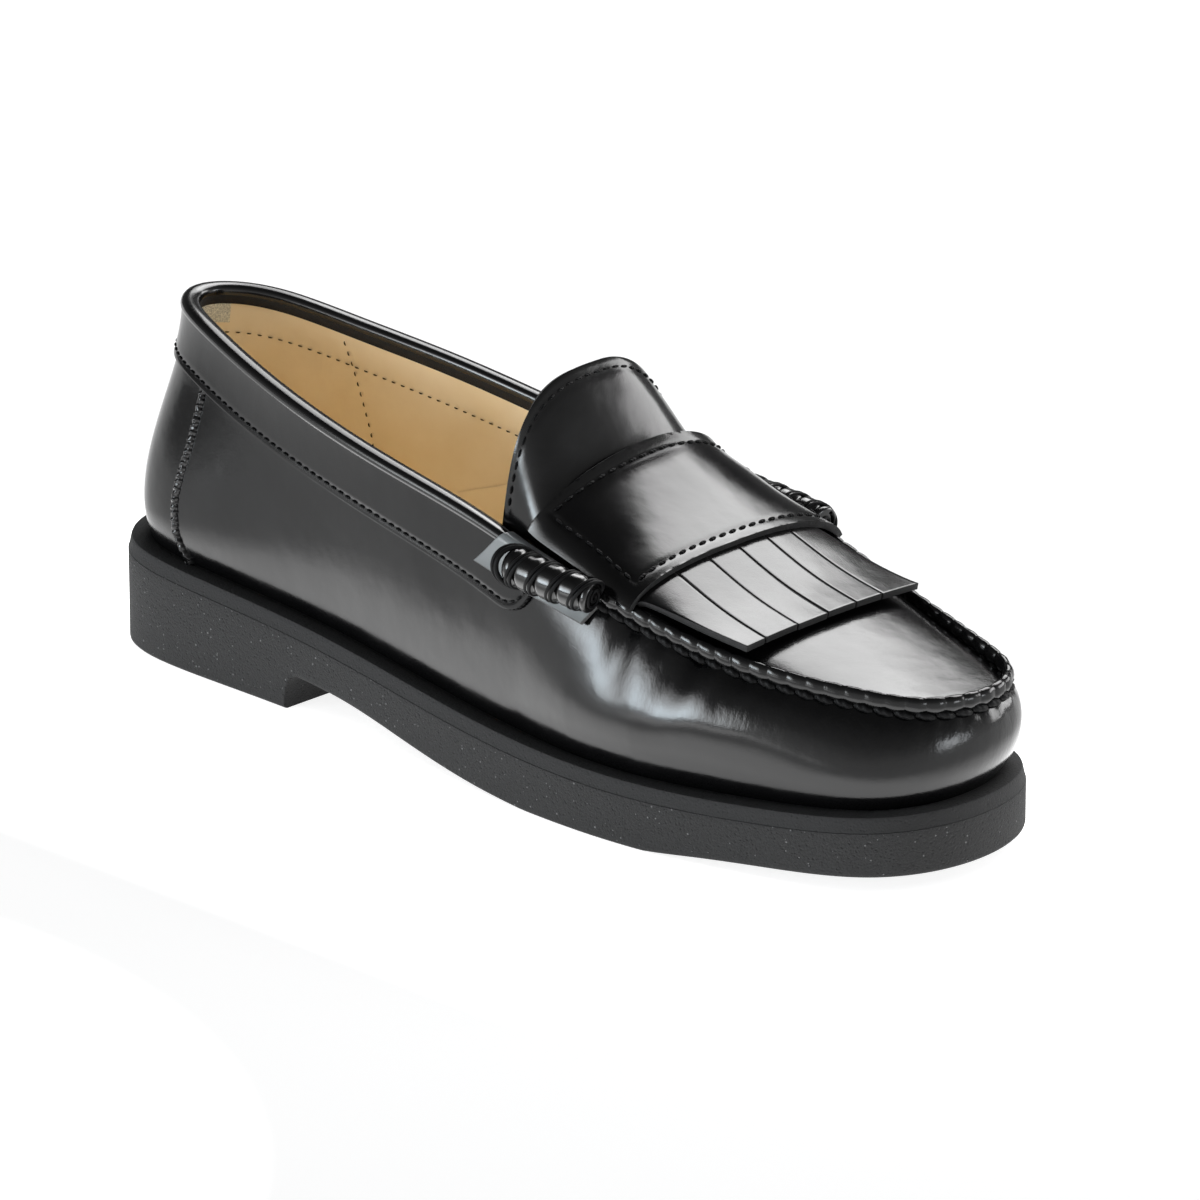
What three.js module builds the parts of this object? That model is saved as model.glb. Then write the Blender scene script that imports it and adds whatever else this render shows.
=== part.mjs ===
import * as THREE from 'three';

// A right loafer in millimetres. The toe points along +X and the inner side of the foot along +Y.

// Sole
const soleLength = 283;
const soleWidth = 93; // across the ball
const heelRimHeight = 29.5; // top of the sole over the floor, at the back
const ballRimHeight = 17.2;
const toeRimHeight = 21.5;
const heelBlockLength = 76;
const breastHeight = 10;
const breastFillet = 4;
const toeSpring = 5.5;
const flatStart = 0.6; // the tread lies flat between these shares of the sole's length
const flatEnd = 0.742;
const tuckRound = 2; // rounding of the heel's lowest back corner
const rimBevelHeight = 4;
const rimBevelDepth = 1;
const floorEdgeRound = 1.2;
const ledge = 6; // from the sole's edge in to the upper

// Upper
const leather = 2; // wall of the upper
const fit = 0.3; // clearance between pieces that meet
const heelTopHeight = 90.5; // cut edge of the collar over the floor, at the back
const heelTopSetback = 10.5; // behind it the sole reaches this much further
const toeSeamHeight = 43.2;
const toeSeamSetback = 5.5;
const wallSwell = 7;
const seamShoulder = 9;
const crownHeight = 82; // instep of the apron, where the back edge of the strap crosses it

// Overlays
const bindingLeather = 1.1;
const bindingOutside = 2.6;
const bindingInside = 7;
const overlayLeather = 1.3;
const collarBandWidth = 15.5; // lower edge under the collar's cut edge, at the widest
const bandFront = 172; // end of the collar band, from the back of the sole
const bandDipLength = 12; // over this length its upper edge dips, to pass below the tab
const bandDipClear = 5; // from the end of the dip to the tab's lower corner
const heelStripWidth = 4;
const heelStripTurn = 38; // place of the strips, in degrees from the back of the heel
const tabWidth = 8;
const tabStart = 152.5; // upper back corner of the tab, from the back of the sole
const tabLength = 40;
const tabSlant = 4.5; // its lower corners reach this much further
const rollBack = 167; // back end of the beef roll, from the back of the sole
const rollFront = 192;
const rollRadius = 4.2;
const rollSag = 20; // its back end leans this many degrees below the cut edge, its front end less
const rollLift = 14;
const rollWraps = 4;
const wrapWidth = 2.6;
const wrapHeight = 0.6;
const seamBead = 3.4; // thickness of the raised seam
const seamGap = 1.5; // from the strap to the end of the raised seam

// Strap, fringe, tongue and insole
const strapLeather = 1.8;
const strapBack = 167;
const strapFront = 198;
const strapReach = 0.96; // its ends stop at this share of the arch's half width
const fringeLeather = 1.4;
const fringeBack = 191;
const fringeLength = 42.5;
const fringeLift = 0.8; // rise of the free ends off the apron
const fringeBow = 1; // fall of the free ends' edges below their middle
const fringeSlit = 0.7;
const tongueLeather = 2;
const tongueBack = 156;
const apronBack = 181;
const insoleThickness = 3;

// Half of the sole's outline, by the turn from the back of the heel to the toe. Shares of the width.
const outlineRows = [
  { turn: 0, lateral: 0.055, medial: -0.055 },
  { turn: 22.5, lateral: 0.3, medial: 0.183 },
  { turn: 45, lateral: 0.37, medial: 0.312 },
  { turn: 67.5, lateral: 0.382, medial: 0.323 },
  { turn: 90, lateral: 0.441, medial: 0.409 },
  { turn: 112.5, lateral: 0.468, medial: 0.532 },
  { turn: 135, lateral: 0.387, medial: 0.473 },
  { turn: 157.5, lateral: 0.253, medial: 0.328 },
  { turn: 180, lateral: -0.03, medial: 0.03 },
];

// Top of the sole along its length. heelRise is a share of the heel's extra height, toeRise of the toe's.
const rimRows = [
  { along: 0, heelRise: 1, toeRise: 0 },
  { along: 0.212, heelRise: 0.715, toeRise: 0 },
  { along: 0.389, heelRise: 0.39, toeRise: 0 },
  { along: 0.53, heelRise: 0.122, toeRise: 0 },
  { along: 0.671, heelRise: 0, toeRise: 0 },
  { along: 0.813, heelRise: 0, toeRise: 0.15 },
  { along: 0.91, heelRise: 0, toeRise: 0.52 },
  { along: 1, heelRise: 0, toeRise: 1 },
];

// Underside in front of the heel block. arch is a share of the breast's height, spring of the toe spring.
const underRows = [
  { along: 0.268, arch: 1, spring: 0 },
  { along: 0.353, arch: 0.83, spring: 0 },
  { along: 0.442, arch: 0.45, spring: 0 },
  { along: 0.53, arch: 0.13, spring: 0 },
  { along: flatStart, arch: 0, spring: 0 },
  { along: flatEnd, arch: 0, spring: 0 },
  { along: 0.795, arch: 0, spring: 0.3 },
  { along: 0.883, arch: 0, spring: 0.64 },
  { along: 1, arch: 0, spring: 1 },
];

// Top edge of the upper's wall: the collar at the back and the apron's seam at the front.
// Sides are shares of the sole's width, height runs from the toe seam (0) to the collar's back (1).
const topRows = [
  { turn: 0, lateral: 0.01, medial: -0.01, height: 1 },
  { turn: 15, lateral: 0.105, medial: 0.095, height: 0.987 },
  { turn: 30, lateral: 0.178, medial: 0.17, height: 0.955 },
  { turn: 45, lateral: 0.241, medial: 0.237, height: 0.869 },
  { turn: 60, lateral: 0.302, medial: 0.302, height: 0.767 },
  { turn: 75, lateral: 0.34, medial: 0.34, height: 0.657 },
  { turn: 90, lateral: 0.36, medial: 0.367, height: 0.541 },
  { turn: 105, lateral: 0.385, medial: 0.405, height: 0.387 },
  { turn: 120, lateral: 0.347, medial: 0.4, height: 0.205 },
  { turn: 135, lateral: 0.287, medial: 0.35, height: 0.105 },
  { turn: 150, lateral: 0.19, medial: 0.3, height: 0.048 },
  { turn: 165, lateral: 0.085, medial: 0.235, height: 0.014 },
  { turn: 180, lateral: -0.091, medial: 0.091, height: 0 },
];

// Swell of the wall between sole and top edge, as shares of wallSwell and seamShoulder.
const swellRows = [
  { turn: 0, swell: 1, shoulder: 0.05, drop: 0.3 },
  { turn: 30, swell: 0.9, shoulder: 0, drop: 0.3 },
  { turn: 60, swell: 0.6, shoulder: -0.1, drop: 0.3 },
  { turn: 90, swell: 0.65, shoulder: 0.1, drop: 0.28 },
  { turn: 110, swell: 0.9, shoulder: 0.7, drop: 0.18 },
  { turn: 135, swell: 1, shoulder: 0.9, drop: 0.12 },
  { turn: 180, swell: 0.9, shoulder: 0.5, drop: 0.15 },
];

// Arches of apron and tongue, by the place of their crown along the sole. crown is a share of
// crownHeight, ridge of the sole's width. The squares bend the arch on its outer and inner side.
const archRows = [
  { along: 0.551, crown: 1.29, ridge: -0.01, outerSquare: 3.2, innerSquare: 2 },
  { along: 0.573, crown: 1.155, ridge: 0.02, outerSquare: 2.6, innerSquare: 1.95 },
  { along: 0.594, crown: 1.02, ridge: 0.045, outerSquare: 2.1, innerSquare: 1.85 },
  { along: 0.618, crown: 0.945, ridge: 0.055, outerSquare: 2.1, innerSquare: 1.85 },
  { along: 0.65, crown: 0.88, ridge: 0.06, outerSquare: 2.3, innerSquare: 1.95 },
  { along: 0.707, crown: 0.79, ridge: 0.065, outerSquare: 2.5, innerSquare: 2.1 },
  { along: 0.77, crown: 0.708, ridge: 0.055, outerSquare: 2.4, innerSquare: 2.2 },
  { along: 0.83, crown: 0.655, ridge: 0.05, outerSquare: 2.2, innerSquare: 2.2 },
  { along: 0.9, crown: 0.593, ridge: 0.05, outerSquare: 2.2, innerSquare: 2.2 },
  { along: 0.965, crown: 0.55, ridge: 0.06, outerSquare: 2.2, innerSquare: 2.2 },
];

// How the tongue leans forward, tucks in behind the wall and rises at its edges, as shares of the
// sole's length.
const tuckRows = [
  { along: 0.551, lean: 0.02, outerTuck: 0.0145, innerTuck: 0.024, rise: 0.002 },
  { along: 0.573, lean: 0.018, outerTuck: 0.0145, innerTuck: 0.02, rise: 0.003 },
  { along: 0.594, lean: 0.014, outerTuck: 0.013, innerTuck: 0.015, rise: 0.004 },
  { along: 0.618, lean: 0.007, outerTuck: 0.012, innerTuck: 0.012, rise: 0.004 },
  { along: 0.65, lean: 0.001, outerTuck: 0.011, innerTuck: 0.011, rise: 0.002 },
  { along: 0.707, lean: 0, outerTuck: 0, innerTuck: 0, rise: 0 },
  { along: 0.77, lean: 0, outerTuck: 0, innerTuck: 0, rise: 0 },
  { along: 1, lean: 0, outerTuck: 0, innerTuck: 0, rise: 0 },
];

// Edges of the fringe's strips, from the outer side to the inner, as shares of the sole's width.
const stripRows = [
  { atStrap: -0.348, atTip: -0.29 },
  { atStrap: -0.216, atTip: -0.228 },
  { atStrap: -0.096, atTip: -0.105 },
  { atStrap: 0.019, atTip: 0.012 },
  { atStrap: 0.127, atTip: 0.121 },
  { atStrap: 0.217, atTip: 0.222 },
  { atStrap: 0.322, atTip: 0.35 },
];

// Lower edge of the collar band, as shares of collarBandWidth, by the turn from the back of the heel.
const bandRows = [
  { turn: 0, width: 0.82 },
  { turn: 40, width: 0.93 },
  { turn: 70, width: 1 },
  { turn: 103, width: 0.86 },
];

const degrees = Math.PI / 180;
const ringSteps = 88; // facets round the shoe
const wallSteps = 8; // facets up the wall
const archSteps = 10; // facets across the apron
const soleSteps = 36; // facets along half of the sole
const leastTurn = 1.6; // facets of the sole are no narrower than this many degrees
const insoleSteps = 28;
const tongueSteps = { along: 8, across: 14 };
const strapSteps = { along: 6, across: 18 };
const trimSteps = { along: 7, across: 3 };
const slitSteps = { strap: 2, strip: 6 }; // facets along the fringe, under the strap and past it
const rollSides = 10;
const beadSides = 6;
const nearEdge = 0.995; // arches stop this share short of their steep feet

// A curve through the rows that keeps its slope and its bend continuous.
function smoothCurve(keys, values, period = 0) {
  const count = keys.length;
  const wrap = (i) => (period ? (i + count) % count : i);
  const key = (i) => keys[wrap(i)] + period * Math.floor(i / count);
  const chord = (i) => (values[wrap(i + 1)] - values[wrap(i)]) / (key(i + 1) - key(i));
  const slopes = keys.map(() => 0);
  for (let pass = 0; pass < 60; pass++) {
    for (let i = 0; i < count; i++) {
      if (!period && i === 0) {
        slopes[i] = (3 * chord(0) - slopes[1]) / 2;
      } else if (!period && i === count - 1) {
        slopes[i] = (3 * chord(i - 1) - slopes[i - 1]) / 2;
      } else {
        const before = key(i) - key(i - 1);
        const after = key(i + 1) - key(i);
        const pull = after * slopes[wrap(i - 1)] + before * slopes[wrap(i + 1)];
        slopes[i] = (3 * (after * chord(i - 1) + before * chord(i)) - pull) / (2 * (before + after));
      }
    }
  }
  return (at) => {
    const place = period ? at - period * Math.floor((at - keys[0]) / period) : at;
    let i = 0;
    while (i < count - (period ? 1 : 2) && place >= key(i + 1)) i++;
    const step = key(i + 1) - key(i);
    const s = (place - key(i)) / step;
    const from = values[i] * (1 + 2 * s) + slopes[i] * step * s;
    const to = values[wrap(i + 1)] * (3 - 2 * s) - slopes[wrap(i + 1)] * step * (1 - s);
    return from * (1 - s) * (1 - s) + to * s * s;
  };
}

function alongCurve(rows, column) {
  return smoothCurve(rows.map((row) => row.along), rows.map((row) => row[column]));
}

// A column of a half table, carried round the shoe: the outer side first, then the inner one.
function ringCurve(rows, lateral, medial) {
  const back = rows.slice(1, -1).reverse();
  const keys = [...rows.map((row) => row.turn), ...back.map((row) => 360 - row.turn)];
  return smoothCurve(keys, [...rows.map(lateral), ...back.map(medial)], 360);
}

const sideways = (rows) => ringCurve(rows, (row) => -row.lateral, (row) => row.medial);
const evenly = (rows, column) => ringCurve(rows, (row) => row[column], (row) => row[column]);

const outlineSide = sideways(outlineRows);
const topSide = sideways(topRows);
const topLevel = evenly(topRows, 'height');
const swellOut = evenly(swellRows, 'swell');
const swellShoulder = evenly(swellRows, 'shoulder');
const swellDrop = evenly(swellRows, 'drop');
const heelRise = alongCurve(rimRows, 'heelRise');
const toeRise = alongCurve(rimRows, 'toeRise');
const archRise = alongCurve(underRows, 'arch');
const springRise = alongCurve(underRows, 'spring');
const arch = Object.fromEntries([archRows, tuckRows].flatMap((rows) => (
  Object.keys(rows[0]).slice(1).map((column) => [column, alongCurve(rows, column)])
)));
const bandWidth = smoothCurve(bandRows.map((row) => row.turn), bandRows.map((row) => row.width));

// Sole

// A point of the sole's outline, moved in by inset, and the direction out of the shoe there.
function outlineAt(turn, inset) {
  const place = (at) => new THREE.Vector2(
    (soleLength / 2) * (1 - Math.cos(at * degrees)),
    soleWidth * outlineSide(at),
  );
  const travel = place(turn + 0.05).sub(place(turn - 0.05)).normalize();
  const out = new THREE.Vector2(travel.y, -travel.x);
  return { point: place(turn).addScaledVector(out, -inset), out };
}

function rimHeight(x) {
  const along = x / soleLength;
  const heel = (heelRimHeight - ballRimHeight) * heelRise(along);
  return ballRimHeight + heel + (toeRimHeight - ballRimHeight) * toeRise(along);
}

function underHeight(x) {
  const along = x / soleLength;
  const beyond = x - heelBlockLength;
  if (beyond <= 0) return tuckRound * Math.max(0, 1 - x / (2 * tuckRound)) ** 2;
  const flat = along > flatStart && along < flatEnd;
  const under = flat ? 0 : breastHeight * archRise(along) + toeSpring * springRise(along);
  const fillet = Math.min(1, beyond / breastFillet);
  return Math.max(0, under) * Math.sqrt(1 - (1 - fillet) ** 2);
}

// Turns of the sole's stations: even steps, and the places where its underside breaks.
function soleTurns() {
  const filletStations = [0, 0.12, 0.5, 1].map((share) => heelBlockLength + share * breastFillet);
  const kept = [...filletStations, flatStart * soleLength, flatEnd * soleLength]
    .map((x) => Math.acos(1 - (2 * x) / soleLength) / degrees);
  for (const turn of steps(0, 180, soleSteps)) {
    if (kept.every((other) => Math.abs(other - turn) > leastTurn)) kept.push(turn);
  }
  return kept.sort((a, b) => a - b);
}

// A closed body round the sole's outline. Each level gives its inset and its height over the floor.
function outlineSolid(turns, levels) {
  const ring = [...turns, ...turns.slice(1, -1).reverse().map((turn) => 360 - turn)];
  const count = ring.length;
  const positions = [];
  const faces = [];
  for (const level of levels) {
    for (const turn of ring) {
      const { point } = outlineAt(turn, level.inset);
      const station = (soleLength / 2) * (1 - Math.cos(turn * degrees));
      positions.push(new THREE.Vector3(point.x, point.y, level.height(station)));
    }
  }
  for (let j = 0; j < levels.length - 1; j++) {
    for (let k = 0; k < count; k++) {
      const next = (k + 1) % count;
      const [a, b, c, d] = [j * count + k, j * count + next, (j + 1) * count + next, (j + 1) * count + k];
      faces.push([a, b, c], [a, c, d]);
    }
  }
  const last = turns.length - 1;
  const side = (i) => (count - i) % count;
  for (let i = 0; i < last; i++) {
    for (const [base, up] of [[0, false], [(levels.length - 1) * count, true]]) {
      const quad = [base + i, base + i + 1, base + side(i + 1), base + side(i)];
      const halves = [[quad[0], quad[1], quad[2]], [quad[0], quad[2], quad[3]]]
        .filter((face) => new Set(face).size === 3);
      faces.push(...halves.map((face) => (up ? face : face.reverse())));
    }
  }
  return solid(positions, faces);
}

// Solids from sheets

function solid(positions, faces) {
  const geometry = new THREE.BufferGeometry().setFromPoints(positions);
  geometry.setIndex(faces.flat());
  geometry.computeVertexNormals();
  return geometry;
}

// Gives a sheet its thickness, inwards from the side that its faces show, and closes its edges.
function thicken({ positions, faces }, thickness) {
  const outer = solid(positions, faces);
  const normals = outer.getAttribute('normal');
  const count = positions.length;
  const inner = positions.map((p, i) => new THREE.Vector3()
    .fromBufferAttribute(normals, i).multiplyScalar(-thickness).add(p));
  const open = new Map();
  for (const [a, b, c] of faces) {
    for (const [from, to] of [[a, b], [b, c], [c, a]]) {
      if (!open.delete(`${to} ${from}`)) open.set(`${from} ${to}`, [from, to]);
    }
  }
  const rim = [...open.values()].flatMap(([a, b]) => [[b, a, count + a], [b, count + a, count + b]]);
  const back = faces.map(([a, b, c]) => [count + c, count + b, count + a]);
  return solid([...positions, ...inner], [...faces, ...back, ...rim]);
}

// A sheet over two lists of values. Its faces show the side that first, turned to second, points to.
function sheet(firsts, seconds, pointAt, isOpen = () => false) {
  const positions = firsts.flatMap((a) => seconds.map((b) => pointAt(a, b)));
  const width = seconds.length;
  const faces = [];
  for (let i = 0; i < firsts.length - 1; i++) {
    for (let j = 0; j < width - 1; j++) {
      if (isOpen(i, j)) continue;
      const [a, b] = [i * width + j, (i + 1) * width + j];
      faces.push([a, b, b + 1], [a, b + 1, a + 1]);
    }
  }
  return { positions, faces };
}

function steps(from, to, count) {
  return Array.from({ length: count + 1 }, (_, i) => from + ((to - from) * i) / count);
}

// A section carried along frames, with flat ends. Frames hold an origin and two directions.
function sweep(frames, sectionAt) {
  const sections = frames.map((frame, i) => sectionAt(i));
  const size = sections[0].length;
  const positions = frames.flatMap(({ origin, out, up }, i) => sections[i]
    .map((p) => origin.clone().addScaledVector(out, p.x).addScaledVector(up, p.y)));
  const faces = [];
  for (let i = 0; i < frames.length - 1; i++) {
    for (let j = 0; j < size; j++) {
      const next = (j + 1) % size;
      const [a, b] = [i * size, (i + 1) * size];
      faces.push([a + j, b + j, b + next], [a + j, b + next, a + next]);
    }
  }
  const end = (frames.length - 1) * size;
  for (const [a, b, c] of THREE.ShapeUtils.triangulateShape(sections[0], [])) faces.push([a, b, c]);
  for (const [a, b, c] of THREE.ShapeUtils.triangulateShape(sections.at(-1), [])) {
    faces.push([end + c, end + b, end + a]);
  }
  return solid(positions, faces);
}

const circle = (radius, sides) => Array.from({ length: sides }, (_, i) => {
  const angle = (2 * Math.PI * i) / sides;
  return new THREE.Vector2(radius * Math.cos(angle), radius * Math.sin(angle));
});

// Wall of the upper

const topSpan = soleLength - heelTopSetback - toeSeamSetback;
const topTurn = (x) => Math.acos(1 - (2 * (x - heelTopSetback)) / topSpan) / degrees;

function topEdge(turn) {
  return new THREE.Vector3(
    heelTopSetback + (topSpan / 2) * (1 - Math.cos(turn * degrees)),
    soleWidth * topSide(turn),
    toeSeamHeight + (heelTopHeight - toeSeamHeight) * topLevel(turn),
  );
}

const wallProfiles = new Map();

// The wall's profile at a turn, from the sole up to the top edge.
function wallProfile(turn) {
  if (!wallProfiles.has(turn)) {
    const { point, out } = outlineAt(turn, ledge);
    const foot = new THREE.Vector3(point.x, point.y, rimHeight(point.x) + fit);
    const top = topEdge(turn);
    const side = new THREE.Vector3(out.x, out.y, 0);
    const rise = top.z - foot.z;
    const low = foot.clone().addScaledVector(side, wallSwell * swellOut(turn));
    const high = top.clone().addScaledVector(side, seamShoulder * swellShoulder(turn));
    low.z += rise / 3;
    high.z -= rise * swellDrop(turn);
    wallProfiles.set(turn, new THREE.CubicBezierCurve3(foot, low, high, top));
  }
  return wallProfiles.get(turn);
}

// A point of the wall at a share of its height, lifted off its outer face.
function wallPoint(turn, share, lift = 0) {
  const profile = wallProfile(turn);
  const at = THREE.MathUtils.clamp(share, 0, 1);
  const around = wallProfile(turn + 0.5).getPointAt(at).sub(wallProfile(turn - 0.5).getPointAt(at));
  const up = profile.getTangentAt(at);
  const out = around.cross(up).normalize();
  return profile.getPointAt(at).addScaledVector(out, lift);
}

const belowTop = (turn, down) => 1 - down / wallProfile(turn).getLength();

// Directions at the top edge: out of the wall, and up along it.
function topFrame(turn) {
  const origin = topEdge(turn);
  const out = wallPoint(turn, 1, 1).sub(wallPoint(turn, 1));
  return { origin, out, up: wallProfile(turn).getTangentAt(1) };
}

// Arches of apron and tongue. Across them, side runs from -1 at the outer foot to 1 at the inner one.
function archPoint(x, side, tucked, lift = 0) {
  const along = x / soleLength;
  const pointAt = (place, across) => {
    const share = place / soleLength;
    const lean = arch.lean(share) * soleLength;
    const turn = topTurn(Math.min(place - lean, soleLength - toeSeamSetback - 0.001));
    const outer = topEdge(turn);
    const inner = topEdge(360 - turn);
    const tuckRow = across < 0 ? arch.outerTuck : arch.innerTuck;
    const tuck = tucked ? Math.max(0, tuckRow(share)) * soleLength : 0;
    const ridge = turn > 175 ? (outer.y + inner.y) / 2 : arch.ridge(share) * soleWidth;
    const foot = outer.z + (tucked ? arch.rise(share) * soleLength : 0);
    const power = across < 0 ? arch.outerSquare(share) : arch.innerSquare(share);
    const height = Math.max(0, 1 - Math.abs(across) ** power) ** (1 / power);
    const reach = across < 0 ? ridge - outer.y - tuck : inner.y - tuck - ridge;
    return new THREE.Vector3(
      outer.x + lean * height,
      ridge + across * reach,
      foot + (arch.crown(share) * crownHeight - foot) * height,
    );
  };
  const point = pointAt(x, side);
  if (!lift) return point;
  const reach = (at) => THREE.MathUtils.clamp(at, -0.999, 0.999);
  const across = pointAt(x, reach(side + 0.02)).sub(pointAt(x, reach(side - 0.02)));
  const forward = pointAt(x + 0.5, side).sub(pointAt(x - 0.5, side));
  return point.addScaledVector(forward.cross(across).normalize(), lift);
}

// The place across an arch that lies above a given Y.
function archSide(x, y) {
  let [low, high] = [-1, 1];
  for (let i = 0; i < 30; i++) {
    const middle = (low + high) / 2;
    if (archPoint(x, middle, true).y < y) low = middle;
    else high = middle;
  }
  return (low + high) / 2;
}

const ringTurns = steps(0, 360, ringSteps).slice(0, -1);

function upper() {
  const positions = [];
  const faces = [];
  const count = ringSteps;
  const shares = steps(0, 1, wallSteps);
  for (const share of shares) for (const turn of ringTurns) positions.push(wallPoint(turn, share));
  for (let j = 0; j < wallSteps; j++) {
    for (let k = 0; k < count; k++) {
      const next = (k + 1) % count;
      const [a, b, c, d] = [j * count + k, j * count + next, (j + 1) * count + next, (j + 1) * count + k];
      faces.push([a, b, c], [a, c, d]);
    }
  }
  const toe = count / 2;
  const first = ringTurns.findIndex((turn) => turn >= topTurn(apronBack));
  const top = wallSteps * count;
  const rows = [];
  for (let k = first; k < toe; k++) {
    const row = [top + k];
    for (const side of steps(-1, 1, archSteps).slice(1, -1)) {
      row.push(positions.length);
      positions.push(archPoint(topEdge(ringTurns[k]).x, side, false));
    }
    rows.push([...row, top + count - k]);
  }
  for (let i = 0; i < rows.length - 1; i++) {
    for (let j = 0; j < archSteps; j++) {
      const [a, b, c, d] = [rows[i][j], rows[i + 1][j], rows[i + 1][j + 1], rows[i][j + 1]];
      faces.push([a, b, c], [a, c, d]);
    }
  }
  const last = rows.at(-1);
  for (let j = 0; j < archSteps; j++) faces.push([last[j], top + toe, last[j + 1]]);
  return thicken({ positions, faces }, leather);
}

function tongue() {
  const stations = steps(tongueBack, apronFrontOfTongue(), tongueSteps.along);
  const sides = steps(1, -1, tongueSteps.across).map((side) => nearEdge * Math.sin((side * Math.PI) / 2));
  return thicken(sheet(sides, stations, (side, x) => archPoint(x, side, true)), tongueLeather);
}

// The apron ends on the ring's first facet in front of apronBack, and the tongue starts behind it.
function apronFrontOfTongue() {
  const turn = ringTurns.find((at) => at >= topTurn(apronBack));
  return topEdge(turn).x - 2 * fit;
}

function outsole() {
  return outlineSolid(soleTurns(), [
    { inset: floorEdgeRound, height: (x) => underHeight(x) },
    { inset: 0, height: (x) => underHeight(x) + floorEdgeRound },
    { inset: 0, height: (x) => rimHeight(x) - rimBevelHeight },
    { inset: rimBevelDepth, height: (x) => rimHeight(x) },
  ]);
}

function insole() {
  const inset = ledge + leather + 3 * fit;
  return outlineSolid(steps(0, 180, insoleSteps), [
    { inset, height: (x) => rimHeight(x) + fit },
    { inset, height: (x) => rimHeight(x) + fit + insoleThickness },
  ]);
}

// Trim round the collar

const tabBack = topTurn(tabStart);
const tabFront = topTurn(tabStart + tabLength);
const tabCorner = tabBack - topTurn(tabStart - tabSlant);
const between = (from, to) => ringTurns.filter((turn) => turn > from + 0.5 && turn < to - 0.5);

// Turns round the heel, from a place on the inner side to the same place on the outer side.
function aroundHeel(turn) {
  const inner = between(360 - turn, 360).map((at) => at - 360);
  return [-turn, ...inner, ...between(-1, turn), turn];
}

function collarBinding() {
  const turns = aroundHeel(tabBack - 1);
  const face = fit + bindingLeather;
  const round = face / 3;
  const section = [
    [face + fit, -bindingOutside],
    [face, 0],
    [round, face],
    [-leather - round, face],
    [-leather - face - fit, 0],
    [-leather - face - 3 * fit, -bindingInside],
    [-leather - 4 * fit, -bindingInside],
    [-leather - 2 * fit, fit],
    [fit, fit],
    [2 * fit, -bindingOutside],
  ].map(([x, y]) => new THREE.Vector2(x, y));
  return sweep(turns.map(topFrame), () => section);
}

function collarBand() {
  const turns = aroundHeel(topTurn(bandFront));
  const dip = tabStart - tabSlant - bandDipClear;
  const dipEnd = topTurn(dip);
  const dipStart = topTurn(dip - bandDipLength);
  const start = (turn) => {
    const under = THREE.MathUtils.smoothstep(Math.abs(turn), dipStart, dipEnd);
    return bindingOutside + fit + (tabWidth - bindingOutside + fit) * under;
  };
  return thicken(sheet(turns, steps(1, 0, trimSteps.across), (turn, share) => {
    const end = collarBandWidth * bandWidth(Math.abs(turn));
    const down = start(turn) + (end - start(turn)) * share;
    return wallPoint(turn, belowTop(turn, down), fit + overlayLeather);
  }), overlayLeather);
}

function heelStrip(sign) {
  const middle = sign * heelStripTurn;
  const top = belowTop(heelStripTurn, collarBandWidth * bandWidth(heelStripTurn) + 2 * fit);
  const half = heelStripWidth / 2;
  const reach = wallPoint(middle, 0.5).distanceTo(wallPoint(middle + 1, 0.5));
  const turns = [middle - half / reach, middle, middle + half / reach];
  const foot = fit / wallProfile(middle).getLength();
  return thicken(sheet(turns, steps(foot, top, wallSteps), (turn, share) => (
    wallPoint(turn, share, fit + overlayLeather))), overlayLeather);
}

function strapTab(sign) {
  const shares = sign > 0 ? steps(0, 1, trimSteps.along) : steps(1, 0, trimSteps.along);
  const top = 2 * fit / tabWidth;
  const frontWidth = 0.4; // share of the width that is left at the front end
  const cornerLength = 0.12; // share of the length that the front corner takes
  return thicken(sheet(shares, steps(1, top, trimSteps.across), (share, low) => {
    const corner = Math.min(1, frontWidth + ((1 - share) * (1 - frontWidth)) / cornerLength);
    const turn = tabBack - tabCorner * low + (tabFront + tabCorner * low - tabBack) * share;
    const down = low * tabWidth * corner;
    return wallPoint(sign * turn, belowTop(turn, down), fit + overlayLeather);
  }), overlayLeather);
}

// The rolled edge on a tab, bound by its wraps of thread.
function beefRoll(sign) {
  const length = rollFront - rollBack;
  const endRound = 1 / length; // the ends are rounded over 1 mm, a wrap's edge over a quarter of that
  const endRadius = 0.55 * rollRadius;
  const rings = [{ at: 0, radius: endRadius }, { at: endRound, radius: rollRadius }];
  for (let i = 0; i < rollWraps; i++) {
    const middle = (i + 0.5) / rollWraps;
    const half = wrapWidth / 2 / length;
    const raised = rollRadius + wrapHeight;
    const foot = half + endRound / 4;
    rings.push({ at: middle - foot, radius: rollRadius }, { at: middle - half, radius: raised });
    rings.push({ at: middle + half, radius: raised }, { at: middle + foot, radius: rollRadius });
  }
  rings.push({ at: 1 - endRound, radius: rollRadius }, { at: 1, radius: endRadius });
  const from = topTurn(rollBack);
  const to = topTurn(rollFront);
  const frames = rings.map(({ at }) => {
    const turn = sign * (from + (to - from) * at);
    const frame = topFrame(turn);
    const clear = rollRadius + wrapHeight + overlayLeather + 3 * fit;
    const angle = (rollLift * at - rollSag) * degrees;
    frame.origin.addScaledVector(frame.out, clear * Math.cos(angle));
    frame.origin.addScaledVector(frame.up, clear * Math.sin(angle));
    return frame;
  });
  if (sign < 0) frames.forEach((frame) => frame.up.negate());
  return sweep(frames, (i) => circle(rings[i].radius, rollSides));
}

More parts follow.
